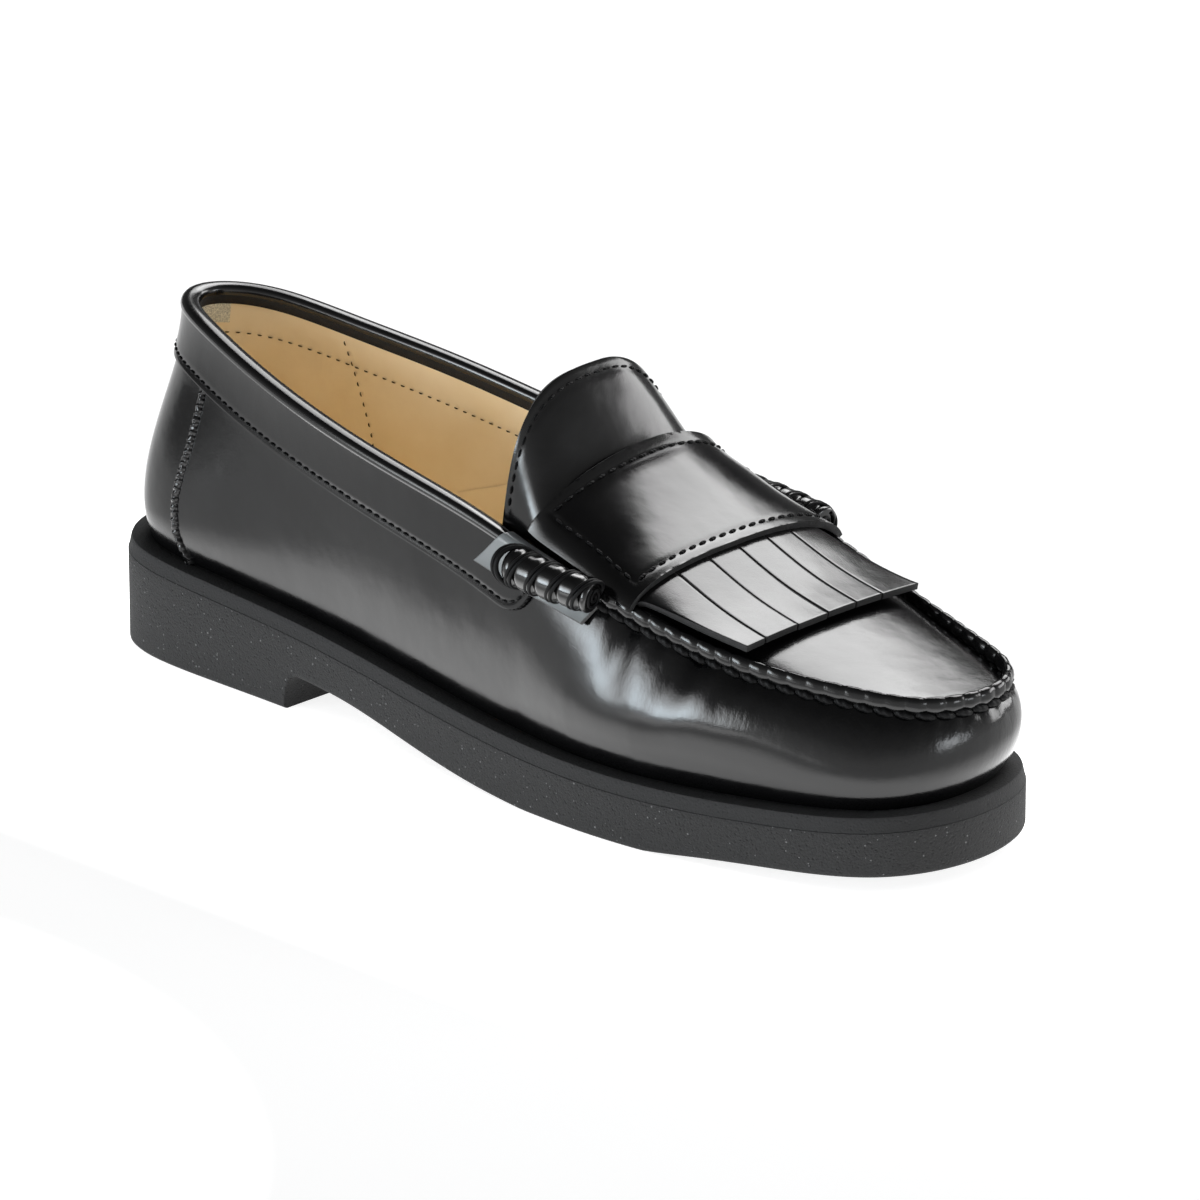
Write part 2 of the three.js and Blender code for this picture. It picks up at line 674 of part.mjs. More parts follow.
function apronSeam() {
  const from = topTurn(strapFront + seamGap);
  const turns = [from, ...between(from, 360 - from), 360 - from];
  const frames = turns.map((turn) => {
    const frame = topFrame(turn);
    const out = new THREE.Vector3(frame.out.x, frame.out.y, 0).normalize();
    const up = new THREE.Vector3(0, 0, 1);
    frame.origin.addScaledVector(up, seamBead / 2 + 3.5 * fit).addScaledVector(out, fit);
    return { origin: frame.origin, out, up };
  });
  return sweep(frames, () => circle(seamBead / 2, beadSides));
}

// Strap and fringe

function saddleStrap() {
  const lift = 3 * fit + fringeLeather + strapLeather;
  const sides = steps(strapReach, -strapReach, strapSteps.across);
  return thicken(sheet(sides, steps(strapBack, strapFront, strapSteps.along), (side, x) => (
    archPoint(x, side, true, lift))), strapLeather);
}

function fringe() {
  const tip = fringeBack + fringeLength;
  const stations = [
    ...steps(fringeBack, strapFront, slitSteps.strap),
    ...steps(strapFront, tip, slitSteps.strip).slice(1),
  ];
  const columns = stripRows.slice(0, -1).flatMap((row, i) => [
    { row, next: stripRows[i + 1], share: 0, shift: i === 0 ? 0 : fringeSlit / 2 },
    { row, next: stripRows[i + 1], share: 0.5, shift: 0 },
    { row, next: stripRows[i + 1], share: 1, shift: i === stripRows.length - 2 ? 0 : -fringeSlit / 2 },
  ]).reverse();
  const lift = 2.5 * fit + fringeLeather;
  const isSlit = (i, j) => i % 3 === 2 && j >= slitSteps.strap;
  return thicken(sheet(columns, stations, ({ row, next, share, shift }, x) => {
    const out = THREE.MathUtils.clamp((x - strapFront) / (tip - strapFront), 0, 1);
    const edge = (at) => soleWidth * (at.atStrap + (at.atTip - at.atStrap) * out);
    const y = edge(row) + (edge(next) - edge(row)) * share + shift;
    const side = archSide(x, y);
    const point = archPoint(x, side, true, lift);
    const flat = archPoint(x, 0, true, lift).z - fringeBow * side ** 2;
    point.z = THREE.MathUtils.lerp(point.z, flat, Math.sqrt(out)) + fringeLift * out ** 2;
    return point;
  }, isSlit), fringeLeather);
}

// Materials

const glossLeather = new THREE.MeshStandardMaterial({ color: 0x0b0b0d, roughness: 0.18, metalness: 0 });
const trimLeather = new THREE.MeshStandardMaterial({ color: 0x0d0d0f, roughness: 0.25, metalness: 0 });
const threadBlack = new THREE.MeshStandardMaterial({ color: 0x101012, roughness: 0.6, metalness: 0 });
const soleRubber = new THREE.MeshStandardMaterial({ color: 0x2a2a2c, roughness: 0.85, metalness: 0 });
const liningTan = new THREE.MeshStandardMaterial({ color: 0xd2af7d, roughness: 0.6, metalness: 0 });

const loafer = new THREE.Group();
const pieces = [
  ['outsole', outsole(), soleRubber],
  ['insole', insole(), liningTan],
  ['upper', upper(), glossLeather],
  ['tongue', tongue(), glossLeather],
  ['saddle_strap', saddleStrap(), glossLeather],
  ['fringe', fringe(), glossLeather],
  ['apron_seam', apronSeam(), trimLeather],
  ['collar_binding', collarBinding(), trimLeather],
  ['collar_band', collarBand(), glossLeather],
  ['heel_strip_lateral', heelStrip(1), trimLeather],
  ['heel_strip_medial', heelStrip(-1), trimLeather],
  ['strap_tab_lateral', strapTab(1), trimLeather],
  ['strap_tab_medial', strapTab(-1), trimLeather],
  ['beef_roll_lateral', beefRoll(1), threadBlack],
  ['beef_roll_medial', beefRoll(-1), threadBlack],
];
for (const [name, geometry, material] of pieces) {
  const mesh = new THREE.Mesh(geometry, material);
  mesh.name = name;
  loafer.add(mesh);
}

// The origin is the middle of the shoe's box, on the floor.
const centre = new THREE.Box3().setFromObject(loafer).getCenter(new THREE.Vector3());
loafer.position.set(-centre.x, -centre.y, 0);
loafer.updateMatrixWorld(true);

export default loafer;
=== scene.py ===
import math
import bpy
import numpy as np
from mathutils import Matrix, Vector


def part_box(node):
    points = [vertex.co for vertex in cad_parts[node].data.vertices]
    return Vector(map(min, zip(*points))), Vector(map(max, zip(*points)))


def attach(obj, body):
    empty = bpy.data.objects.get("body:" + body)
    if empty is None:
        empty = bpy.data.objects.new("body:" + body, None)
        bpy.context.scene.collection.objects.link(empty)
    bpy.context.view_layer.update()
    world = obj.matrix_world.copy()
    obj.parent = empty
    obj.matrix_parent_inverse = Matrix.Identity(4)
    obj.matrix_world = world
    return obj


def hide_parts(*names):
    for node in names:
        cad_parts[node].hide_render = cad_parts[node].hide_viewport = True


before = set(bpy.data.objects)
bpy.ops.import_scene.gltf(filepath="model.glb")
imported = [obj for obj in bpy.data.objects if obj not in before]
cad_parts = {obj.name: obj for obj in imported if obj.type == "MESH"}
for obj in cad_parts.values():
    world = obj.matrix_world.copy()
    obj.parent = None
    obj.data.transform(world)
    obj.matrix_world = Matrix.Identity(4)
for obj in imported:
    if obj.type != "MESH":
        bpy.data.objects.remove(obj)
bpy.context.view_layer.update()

# Sizes are in millimetres on the shoe: x from the back of the sole, y to the inner side, z up.
last = {
    "soleLength": 283, "soleWidth": 93,
    "heelRim": 29.5, "ballRim": 17.2, "toeRim": 21.5,  # top of the sole over the floor
    "ledge": 6, "fit": 0.3,
    "heelTop": 90.5, "heelTopSetback": 10.5,
    "toeSeam": 43.2, "toeSeamSetback": 5.5,
    "wallSwell": 7, "seamShoulder": 9,
    "crown": 82,  # instep under the back edge of the strap
}
mm = 0.001
strapSpan = (167, 200)  # back and front edge of the saddle strap

# half of the sole's outline, by the turn from heel to toe, in shares of the width
outlineRows = {
    "turn": [0, 22.5, 45, 67.5, 90, 112.5, 135, 157.5, 180],
    "lateral": [0.055, 0.3, 0.37, 0.382, 0.441, 0.468, 0.387, 0.253, -0.03],
    "medial": [-0.055, 0.183, 0.312, 0.323, 0.409, 0.532, 0.473, 0.328, 0.03],
}
# top of the sole: shares of the heel's and the toe's extra height
rimRows = {
    "along": [0, 0.212, 0.389, 0.53, 0.671, 0.813, 0.91, 1],
    "heelRise": [1, 0.715, 0.39, 0.122, 0, 0, 0, 0],
    "toeRise": [0, 0, 0, 0, 0, 0.15, 0.52, 1],
}
# cut edge of the collar and the apron's seam: sides in shares of the width, height from seam to collar
topRows = {
    "turn": [0, 15, 30, 45, 60, 75, 90, 105, 120, 135, 150, 165, 180],
    "lateral": [0.01, 0.105, 0.178, 0.241, 0.302, 0.34, 0.36, 0.385, 0.347, 0.287, 0.19, 0.085, -0.091],
    "medial": [-0.01, 0.095, 0.17, 0.237, 0.302, 0.34, 0.367, 0.405, 0.4, 0.35, 0.3, 0.235, 0.091],
    "height": [1, 0.987, 0.955, 0.869, 0.767, 0.657, 0.541, 0.387, 0.205, 0.105, 0.048, 0.014, 0],
}
# how far the wall swells out between sole and top edge
swellRows = {
    "turn": [0, 30, 60, 90, 110, 135, 180],
    "swell": [1, 0.9, 0.6, 0.65, 0.9, 1, 0.9],
    "shoulder": [0.05, 0, -0.1, 0.1, 0.7, 0.9, 0.5],
    "drop": [0.3, 0.3, 0.3, 0.28, 0.18, 0.12, 0.15],
}
# arches of tongue and apron: crown in shares of the instep, ridge of the width, bends of both sides
archRows = {
    "along": [0.551, 0.573, 0.594, 0.618, 0.65, 0.707, 0.77, 0.83, 0.9, 0.965],
    "crown": [1.29, 1.155, 1.02, 0.945, 0.88, 0.79, 0.708, 0.655, 0.593, 0.55],
    "ridge": [-0.01, 0.02, 0.045, 0.055, 0.06, 0.065, 0.055, 0.05, 0.05, 0.06],
    "outerSquare": [3.2, 2.6, 2.1, 2.1, 2.3, 2.5, 2.4, 2.2, 2.2, 2.2],
    "innerSquare": [2, 1.95, 1.85, 1.85, 1.95, 2.1, 2.2, 2.2, 2.2, 2.2],
}
# the tongue's lean, tuck behind the wall and rise of its edges, in shares of the sole's length
tuckRows = {
    "along": [0.551, 0.573, 0.594, 0.618, 0.65, 0.707, 0.77, 1],
    "lean": [0.02, 0.018, 0.014, 0.007, 0.001, 0, 0, 0],
    "outerTuck": [0.0145, 0.0145, 0.013, 0.012, 0.011, 0, 0, 0],
    "innerTuck": [0.024, 0.02, 0.015, 0.012, 0.011, 0, 0, 0],
    "rise": [0.002, 0.003, 0.004, 0.004, 0.002, 0, 0, 0],
}


def smoothCurve(keys, values, period=0):
    # a curve through the rows whose slope and bend run on without a break
    keys = np.array(keys, float)
    values = np.array(values, float)
    if period:
        keys = np.append(keys, keys[0] + period)
        values = np.append(values, values[0])
    gaps = np.diff(keys)
    chords = np.diff(values) / gaps
    count = len(keys)
    pull = np.zeros((count, count))
    want = np.zeros(count)
    for i in range(1, count - 1):
        pull[i, i - 1:i + 2] = gaps[i], 2 * (gaps[i - 1] + gaps[i]), gaps[i - 1]
        want[i] = 3 * (gaps[i] * chords[i - 1] + gaps[i - 1] * chords[i])
    if period:
        pull[0, 0], pull[0, 1], pull[0, -2] = 2 * (gaps[-1] + gaps[0]), gaps[-1], gaps[0]
        want[0] = 3 * (gaps[0] * chords[-1] + gaps[-1] * chords[0])
        pull[-1, 0], pull[-1, -1] = 1, -1
    else:
        pull[0, :2] = 2, 1
        pull[-1, -2:] = 1, 2
        want[0], want[-1] = 3 * chords[0], 3 * chords[-1]
    slopes = np.linalg.solve(pull, want)

    def valueAt(place):
        place = np.asarray(place, float)
        if period:
            place = keys[0] + (place - keys[0]) % period
        i = np.clip(np.searchsorted(keys, place, side="right") - 1, 0, count - 2)
        s = (place - keys[i]) / gaps[i]
        start = values[i] * (1 + 2 * s) + slopes[i] * gaps[i] * s
        end = values[i + 1] * (3 - 2 * s) - slopes[i + 1] * gaps[i] * (1 - s)
        return start * (1 - s) ** 2 + end * s ** 2

    return valueAt


def ringCurve(rows, lateral, medial, sign=1):
    # a half table carried round the shoe, the outer side first
    turns = rows["turn"] + [360 - turn for turn in rows["turn"][-2:0:-1]]
    values = [sign * value for value in rows[lateral]] + rows[medial][-2:0:-1]
    return smoothCurve(turns, values, 360)


outlineSide = ringCurve(outlineRows, "lateral", "medial", -1)
topSide = ringCurve(topRows, "lateral", "medial", -1)
topLevel = ringCurve(topRows, "height", "height")
swellOut = ringCurve(swellRows, "swell", "swell")
swellShoulder = ringCurve(swellRows, "shoulder", "shoulder")
swellDrop = ringCurve(swellRows, "drop", "drop")
heelRise = smoothCurve(rimRows["along"], rimRows["heelRise"])
toeRise = smoothCurve(rimRows["along"], rimRows["toeRise"])
arch = {
    column: smoothCurve(rows["along"], rows[column])
    for rows in (archRows, tuckRows) for column in rows if column != "along"
}


def stationX(turn, length=last["soleLength"], start=0):
    return start + length / 2 * (1 - np.cos(np.radians(turn)))


def outlineAt(turn, inset):
    # points of the sole's outline, moved in by inset, and the way out of the shoe there
    turn = np.asarray(turn, float)

    def place(at):
        return np.stack([stationX(at), last["soleWidth"] * outlineSide(at)], -1)

    travel = place(turn + 0.05) - place(turn - 0.05)
    travel /= np.linalg.norm(travel, axis=-1, keepdims=True)
    out = np.stack([travel[..., 1], -travel[..., 0]], -1)
    return place(turn) - out * np.asarray(inset)[..., None], out


def rimHeight(x):
    along = x / last["soleLength"]
    heel = (last["heelRim"] - last["ballRim"]) * heelRise(along)
    return last["ballRim"] + heel + (last["toeRim"] - last["ballRim"]) * toeRise(along)


topSpan = last["soleLength"] - last["heelTopSetback"] - last["toeSeamSetback"]


def topTurn(x):
    share = 1 - 2 * (np.asarray(x, float) - last["heelTopSetback"]) / topSpan
    return np.degrees(np.arccos(np.clip(share, -1, 1)))


def topEdge(turn):
    height = last["toeSeam"] + (last["heelTop"] - last["toeSeam"]) * topLevel(turn)
    x = stationX(turn, topSpan, last["heelTopSetback"])
    return np.stack([x, last["soleWidth"] * topSide(turn), height], -1)


def unit(vectors):
    return vectors / np.maximum(np.linalg.norm(vectors, axis=-1, keepdims=True), 1e-9)


# The wall of the upper, kept as a fine net of places over turn and share of its height.
wallNet = {"turnStep": 0.5, "shareCount": 81, "profileSteps": 60}


def measureWall():
    turns = np.arange(0, 360, wallNet["turnStep"])
    point, out = outlineAt(turns, np.full(len(turns), float(last["ledge"])))
    foot = np.column_stack([point, rimHeight(point[:, 0]) + last["fit"]])
    side = np.column_stack([out, np.zeros(len(turns))])
    top = topEdge(turns)
    rise = (top[:, 2] - foot[:, 2])[:, None]
    upward = np.array([0, 0, 1.0])
    low = foot + side * (last["wallSwell"] * swellOut(turns))[:, None] + upward * rise / 3
    high = top + side * (last["seamShoulder"] * swellShoulder(turns))[:, None]
    high = high - upward * rise * swellDrop(turns)[:, None]
    t = np.linspace(0, 1, wallNet["profileSteps"] + 1)[None, :, None]
    curve = (foot[:, None] * (1 - t) ** 3 + 3 * low[:, None] * t * (1 - t) ** 2
             + 3 * high[:, None] * t ** 2 * (1 - t) + top[:, None] * t ** 3)
    run = np.concatenate(
        [np.zeros((len(turns), 1)), np.cumsum(np.linalg.norm(np.diff(curve, axis=1), axis=2), 1)], 1)
    shares = np.linspace(0, 1, wallNet["shareCount"])
    net = np.empty((len(turns), len(shares), 3))
    for i in range(len(turns)):
        for axis in range(3):
            net[i, :, axis] = np.interp(shares * run[i, -1], run[i], curve[i, :, axis])
    around = np.roll(net, -1, 0) - np.roll(net, 1, 0)
    outwards = unit(np.cross(around, np.gradient(net, axis=1)))
    return net, outwards, run[:, -1]


wallPlaces, wallOut, wallLengths = measureWall()
topRun = np.concatenate([[0], np.cumsum(np.linalg.norm(np.diff(
    topEdge(np.arange(0, 360.01, wallNet["turnStep"])), axis=0), axis=1))])


def seamRun(turn):
    # distance along the top edge from the middle of the toe, growing towards the inner side
    return np.interp(turn, np.arange(0, 360.01, wallNet["turnStep"]), topRun) - topRun[len(topRun) // 2]


def turnAtRun(run):
    return np.interp(run + topRun[len(topRun) // 2], topRun, np.arange(0, 360.01, wallNet["turnStep"]))


def netValue(net, turn, share):
    turn = (np.asarray(turn, float) / wallNet["turnStep"]) % len(net)
    share = np.clip(share, 0, 1) * (net.shape[1] - 1)
    i = np.floor(turn).astype(int) % len(net)
    j = np.minimum(np.floor(share).astype(int), net.shape[1] - 2)
    a = (turn - np.floor(turn))[..., None]
    b = (share - j)[..., None]
    k = (i + 1) % len(net)
    return (net[i, j] * (1 - a) + net[k, j] * a) * (1 - b) + (net[i, j + 1] * (1 - a) + net[k, j + 1] * a) * b


def wallLength(turn):
    turns = np.arange(0, 360.01, wallNet["turnStep"])
    return np.interp(np.asarray(turn, float) % 360, turns, np.append(wallLengths, wallLengths[0]))


def belowTop(turn, down):
    return 1 - down / wallLength(turn)


# Main creases of the vamp: x at the seam, how far down they reach, half width,
# depth (below zero for a ridge between two troughs) and how far they run back towards the heel.
creaseRows = {
    "x": [199.6, 204.5, 209, 213.5, 219, 226, 232, 241, 251],
    "reach": [28, 20, 15, 22, 30, 20, 19, 13, 10],
    "width": [3.4, 3.4, 2.6, 3.4, 4.2, 3.8, 3.4, 3.2, 3.0],
    "depth": [1.6, -0.4, 0.3, -0.4, 1.6, -0.3, 0.7, 0.3, 0.2],
    "slant": [3, 4, 2, 6, 12, 7, 7, 3, 2],
}
# the soft swell below them, where the shoe flexes: how far under the top edge, and how high
# where the vamp bends in walking: finest wrinkles from back on, within reach below the seam
flexZone = {"back": 178, "rise": 18, "reach": 16}
swellLine = {"x": [164, 184, 205, 225, 250], "down": [38, 32, 25, 16, 11],
             "height": [0, 1.6, 2.3, 1.5, 0], "width": 11}
seam = {"stitchPitch": 5.0, "pucker": 0.18, "puckerReach": 3.0, "start": 197}


def wallRelief(turn, share):
    # troughs and ridges that the gathered seam pulls into the wall
    down = (1 - share) * wallLength(turn)
    x = topEdge(turn)[..., 0]
    relief = np.zeros(np.broadcast(turn, share).shape)
    for i in range(len(creaseRows["x"])):
        reach = creaseRows["reach"][i]
        drop = np.clip(down / reach, 0, 1)
        middle = creaseRows["x"][i] - creaseRows["slant"][i] * drop
        width = creaseRows["width"][i] * (1 + 0.8 * drop)
        relief -= creaseRows["depth"][i] * np.exp(-((x - middle) / width) ** 2) * (1 - drop) ** 1.2
    crest = np.interp(x, swellLine["x"], swellLine["down"])
    height = np.interp(x, swellLine["x"], swellLine["height"])
    relief += height * np.exp(-((down - crest) / swellLine["width"]) ** 2)
    gathered = 1 / (1 + np.exp(-(x - seam["start"]) / 2))
    wave = np.cos(2 * math.pi * seamRun(turn % 360) / seam["stitchPitch"])
    relief += gathered * seam["pucker"] * wave * np.exp(-down / seam["puckerReach"])
    return relief


def onWall(turn, share, lift=0.0):
    turn, share, lift = np.broadcast_arrays(np.asarray(turn, float), share, lift)
    out = unit(netValue(wallOut, turn, share))
    return netValue(wallPlaces, turn, share) + out * lift[..., None], out


def archPlace(x, side, tucked, lift=0.0):
    # the arch of apron and tongue: side runs from -1 at the outer foot to 1 at the inner one
    x, side = np.broadcast_arrays(np.asarray(x, float), np.asarray(side, float))

    def place(at, across):
        share = at / last["soleLength"]
        lean = arch["lean"](share) * last["soleLength"]
        turn = topTurn(np.minimum(at - lean, last["soleLength"] - last["toeSeamSetback"] - 0.001))
        outer, inner = topEdge(turn), topEdge(360 - turn)
        tuck = np.where(across < 0, arch["outerTuck"](share), arch["innerTuck"](share))
        tuck = np.maximum(0, tuck) * last["soleLength"] * tucked
        halfway = (outer[..., 1] + inner[..., 1]) / 2
        ridge = np.where(turn > 175, halfway, arch["ridge"](share) * last["soleWidth"])
        foot = outer[..., 2] + arch["rise"](share) * last["soleLength"] * tucked
        power = np.where(across < 0, arch["outerSquare"](share), arch["innerSquare"](share))
        height = np.maximum(0, 1 - np.abs(across) ** power) ** (1 / power)
        reach = np.where(across < 0, ridge - outer[..., 1] - tuck, inner[..., 1] - tuck - ridge)
        top = foot + (arch["crown"](share) * last["crown"] - foot) * height
        return np.stack([outer[..., 0] + lean * height, ridge + across * reach, top], -1)

    forward = place(x + 0.5, side) - place(x - 0.5, side)
    across = place(x, np.minimum(side + 0.02, 0.999)) - place(x, np.maximum(side - 0.02, -0.999))
    up = unit(np.cross(forward, across))
    return place(x, side) + up * np.asarray(lift)[..., None], up


def archSide(x, y):
    low = np.full(np.broadcast(x, y).shape, -1.0)
    high = -low
    for _ in range(30):
        middle = (low + high) / 2
        under = archPlace(x, middle, True)[0][..., 1] < y
        low, high = np.where(under, middle, low), np.where(under, high, middle)
    return (low + high) / 2


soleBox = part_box("outsole")
soleEdge = outlineAt(np.arange(0, 360, 0.5), np.zeros(720))[0]
shoeShift = np.array([
    soleBox[0].x / mm,
    (soleBox[0].y + soleBox[1].y) / 2 / mm - (soleEdge[:, 1].min() + soleEdge[:, 1].max()) / 2,
    0,
])


def toFrame(points):
    return (np.asarray(points, float) + shoeShift) * mm


# Mesh helpers

def deselectAll():
    if bpy.context.object and bpy.context.object.mode != "OBJECT":
        bpy.ops.object.mode_set(mode="OBJECT")
    bpy.ops.object.select_all(action="DESELECT")


def pick(piece):
    deselectAll()
    piece.select_set(True)
    bpy.context.view_layer.objects.active = piece


def setMap(piece, places):
    # the piece's map, in millimetres along its rows and columns
    rows, columns = places.shape[:2]
    across, down = [np.linalg.norm(np.diff(places, axis=axis), axis=2) for axis in (1, 0)]
    u = np.concatenate([np.zeros((rows, 1)), np.cumsum(across, 1)], 1)
    v = np.concatenate([np.zeros((1, columns)), np.cumsum(down, 0)], 0)
    corners = np.empty(len(piece.data.loops), int)
    piece.data.loops.foreach_get("vertex_index", corners)
    spread = np.stack([u.ravel()[corners], v.ravel()[corners]], -1) * mm
    piece.data.uv_layers.active.data.foreach_set("uv", spread.ravel())


def formedGrid(name, places, materials=()):
    # a grid shaped over the last: its columns run along the first way, its rows along the second,
    # and its faces look along columns x rows
    rows, columns = places.shape[:2]
    deselectAll()
    bpy.ops.mesh.primitive_grid_add(x_subdivisions=columns - 1, y_subdivisions=rows - 1, size=2 * mm)
    piece = bpy.context.object
    piece.name = name
    piece.data.name = name
    for material in materials:
        piece.data.materials.append(material)
    setMap(piece, places)
    piece.data.vertices.foreach_set("co", toFrame(places).ravel())
    piece.data.update()
    return piece


def weld(piece, distance, outwards=False):
    pick(piece)
    bpy.ops.object.mode_set(mode="EDIT")
    bpy.ops.mesh.select_all(action="SELECT")
    bpy.ops.mesh.remove_doubles(threshold=distance * mm)
    if outwards:
        bpy.ops.mesh.normals_make_consistent(inside=False)
    bpy.ops.object.mode_set(mode="OBJECT")


def giveWall(piece, thickness, edgeRound=0.0, slots=(0, 0)):
    # thickness inwards from the shown side, with a rounded cut edge
    pick(piece)
    wall = piece.modifiers.new("wall", "SOLIDIFY")
    wall.thickness = thickness * mm
    wall.offset = -1
    wall.material_offset = slots[0]
    wall.material_offset_rim = slots[1]
    bpy.ops.object.modifier_apply(modifier="wall")
    if edgeRound:
        bevel = piece.modifiers.new("edge", "BEVEL")
        bevel.width = edgeRound * mm
        bevel.segments = 2
        bevel.limit_method = "ANGLE"
        bevel.angle_limit = math.radians(55)
        bevel.material = slots[1] or -1
        bpy.ops.object.modifier_apply(modifier="edge")


def finishPiece(piece, nodes=(), materials=(), angle=40):
    pick(piece)
    bpy.ops.object.shade_smooth_by_angle(angle=math.radians(angle))
    for material in materials:
        piece.data.materials.append(material)
    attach(piece, "root")
    for node in nodes:
        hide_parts(node)


def sweptTube(name, origins, outs, ups, sectionAt, materials=(), closed=False):
    # a section carried along a path; sectionAt gives its corners, across and up, for every ring
    rings = np.array([sectionAt(i) for i in range(len(origins))])
    places = (origins[:, None] + rings[..., :1] * outs[:, None] + rings[..., 1:] * ups[:, None])
    places = np.concatenate([places, places[:, :1]], 1)
    if closed:
        places = np.concatenate([places, places[:1]], 0)
    piece = formedGrid(name, places, materials)
    weld(piece, 0.005)
    if not closed:
        bpy.ops.object.mode_set(mode="EDIT")
        bpy.ops.mesh.select_all(action="DESELECT")
        bpy.ops.mesh.select_non_manifold()
        bpy.ops.mesh.fill_holes(sides=0)
        bpy.ops.object.mode_set(mode="OBJECT")
    weld(piece, 0.005, outwards=True)
    return piece


def stitchShape(sides, rings, dip, taper):
    # one stitch: a bowed thread, along x from -1 to 1, whose ends go down into the leather
    deselectAll()
    bpy.ops.mesh.primitive_cylinder_add(vertices=sides, radius=1, depth=2, rotation=(0, math.pi / 2, 0))
    shape = bpy.context.object
    bpy.ops.object.transform_apply(location=False, rotation=True, scale=False)
    bpy.ops.object.mode_set(mode="EDIT")
    for i in range(1, rings - 1):
        bpy.ops.mesh.select_all(action="SELECT")
        bpy.ops.mesh.bisect(plane_co=(-1 + 2 * i / (rings - 1), 0, 0), plane_no=(1, 0, 0))
    bpy.ops.object.mode_set(mode="OBJECT")
    for vertex in shape.data.vertices:
        along = vertex.co.x
        width = 1 - (1 - taper) * abs(along) ** 3
        vertex.co.y *= width
        vertex.co.z = vertex.co.z * width - dip * along ** 4
    corners = np.empty(len(shape.data.vertices) * 3)
    shape.data.vertices.foreach_get("co", corners)
    faces = [tuple(face.vertices) for face in shape.data.polygons]
    bpy.data.objects.remove(shape)
    return corners.reshape(-1, 3), faces


def joinedCopies(name, shape, origins, ways, outs, sizes):
    # copies of one shape, joined: each along its way, standing out, with its own length, width, height
    corners, faces = shape
    ways = unit(np.asarray(ways))
    sides = unit(np.cross(outs, ways))
    outs = np.cross(ways, sides)
    sizes = np.broadcast_to(np.asarray(sizes, float), (len(origins), 3))
    places = (np.asarray(origins)[:, None]
              + corners[None, :, :1] * (ways * sizes[:, :1])[:, None]
              + corners[None, :, 1:2] * (sides * sizes[:, 1:2])[:, None]
              + corners[None, :, 2:] * (outs * sizes[:, 2:])[:, None])
    count = len(corners)
    joined = [tuple(corner + i * count for corner in face) for i in range(len(origins)) for face in faces]
    data = bpy.data.meshes.new(name)
    data.from_pydata(toFrame(places.reshape(-1, 3)).tolist(), [], joined)
    spread = data.uv_layers.new(name="map")
    around = np.arctan2(corners[:, 1], corners[:, 2])
    along = np.tile(np.stack([corners[:, 0], around], -1), (len(origins), 1))
    index = np.empty(len(data.loops), int)
    data.loops.foreach_get("vertex_index", index)
    spread.data.foreach_set("uv", along[index].ravel())
    piece = bpy.data.objects.new(name, data)
    bpy.context.scene.collection.objects.link(piece)
    return piece


def spaced(places, outs, pitch):
    # middles of the stitches along a line, with the line's way and the way out there
    run = np.concatenate([[0], np.cumsum(np.linalg.norm(np.diff(places, axis=0), axis=1))])
    count = max(1, int(run[-1] / pitch))
    start = (run[-1] - count * pitch) / 2
    middles = start + (np.arange(count) + 0.5) * pitch

    def along(values, at):
        return np.stack([np.interp(at, run, values[:, axis]) for axis in range(3)], -1)

    ways = along(places, middles + 0.3) - along(places, middles - 0.3)
    return along(places, middles), unit(ways), unit(along(outs, middles))


def stitchLine(lines, name, pitch, radius, material, lift, share=0.74):
    # rows of sewn stitches on the leather, joined in one piece
    middles, ways, outs = (np.concatenate(part) for part in zip(*[
        spaced(places, out, pitch) for places, out in lines]))
    size = (pitch * share / 2, radius, radius)
    piece = joinedCopies(name, threadShape, middles + outs * lift, ways, outs, size)
    finishPiece(piece, materials=[material], angle=60)


threadShape = stitchShape(sides=8, rings=7, dip=0.9, taper=0.35)

# Materials

def newGroup(name, inputs, outputs):
    group = bpy.data.node_groups.new(name, "ShaderNodeTree")
    for label, kind, value in inputs:
        socket = group.interface.new_socket(label, in_out="INPUT", socket_type=kind)
        if value is not None:
            socket.default_value = value
    for label, kind in outputs:
        group.interface.new_socket(label, in_out="OUTPUT", socket_type=kind)
    ends = group.nodes.new("NodeGroupInput"), group.nodes.new("NodeGroupOutput")
    return group, ends[0].outputs, ends[1].inputs


def addNode(tree, kind, settings=None, **sockets):
    node = tree.nodes.new(kind)
    for key, value in (settings or {}).items():
        setattr(node, key, value)
    for label, value in sockets.items():
        numbered = label[0] == "i" and label[1:].isdigit()
        socket = node.inputs[int(label[1:]) if numbered else label]
        if isinstance(value, bpy.types.NodeSocket):
            tree.links.new(value, socket)
        else:
            socket.default_value = value
    return node


def maths(tree, operation, first, second=0.0):
    return addNode(tree, "ShaderNodeMath", {"operation": operation}, i0=first, i1=second).outputs[0]


def ramp(tree, value, low, high, to=(0.0, 1.0)):
    sockets = {"Value": value, "From Min": low, "From Max": high, "To Min": to[0], "To Max": to[1]}
    return addNode(tree, "ShaderNodeMapRange", None, **sockets).outputs[0]


def mixColours(tree, share, first, second):
    # first and second are a socket or a plain tint
    ends = [end if isinstance(end, bpy.types.NodeSocket) else (*end, 1) for end in (first, second)]
    return addNode(tree, "ShaderNodeMix", {"data_type": "RGBA"}, i0=share, i6=ends[0], i7=ends[1]).outputs[2]


def distanceTo(tree, place, point):
    apart = addNode(tree, "ShaderNodeVectorMath", {"operation": "DISTANCE"}, i0=place, i1=point)
    return apart.outputs["Value"]


def noise(tree, place, scale, detail, rough=0.5):
    return addNode(tree, "ShaderNodeTexNoise", None, Vector=place, Scale=scale, Detail=detail,
                   Roughness=rough).outputs[0]


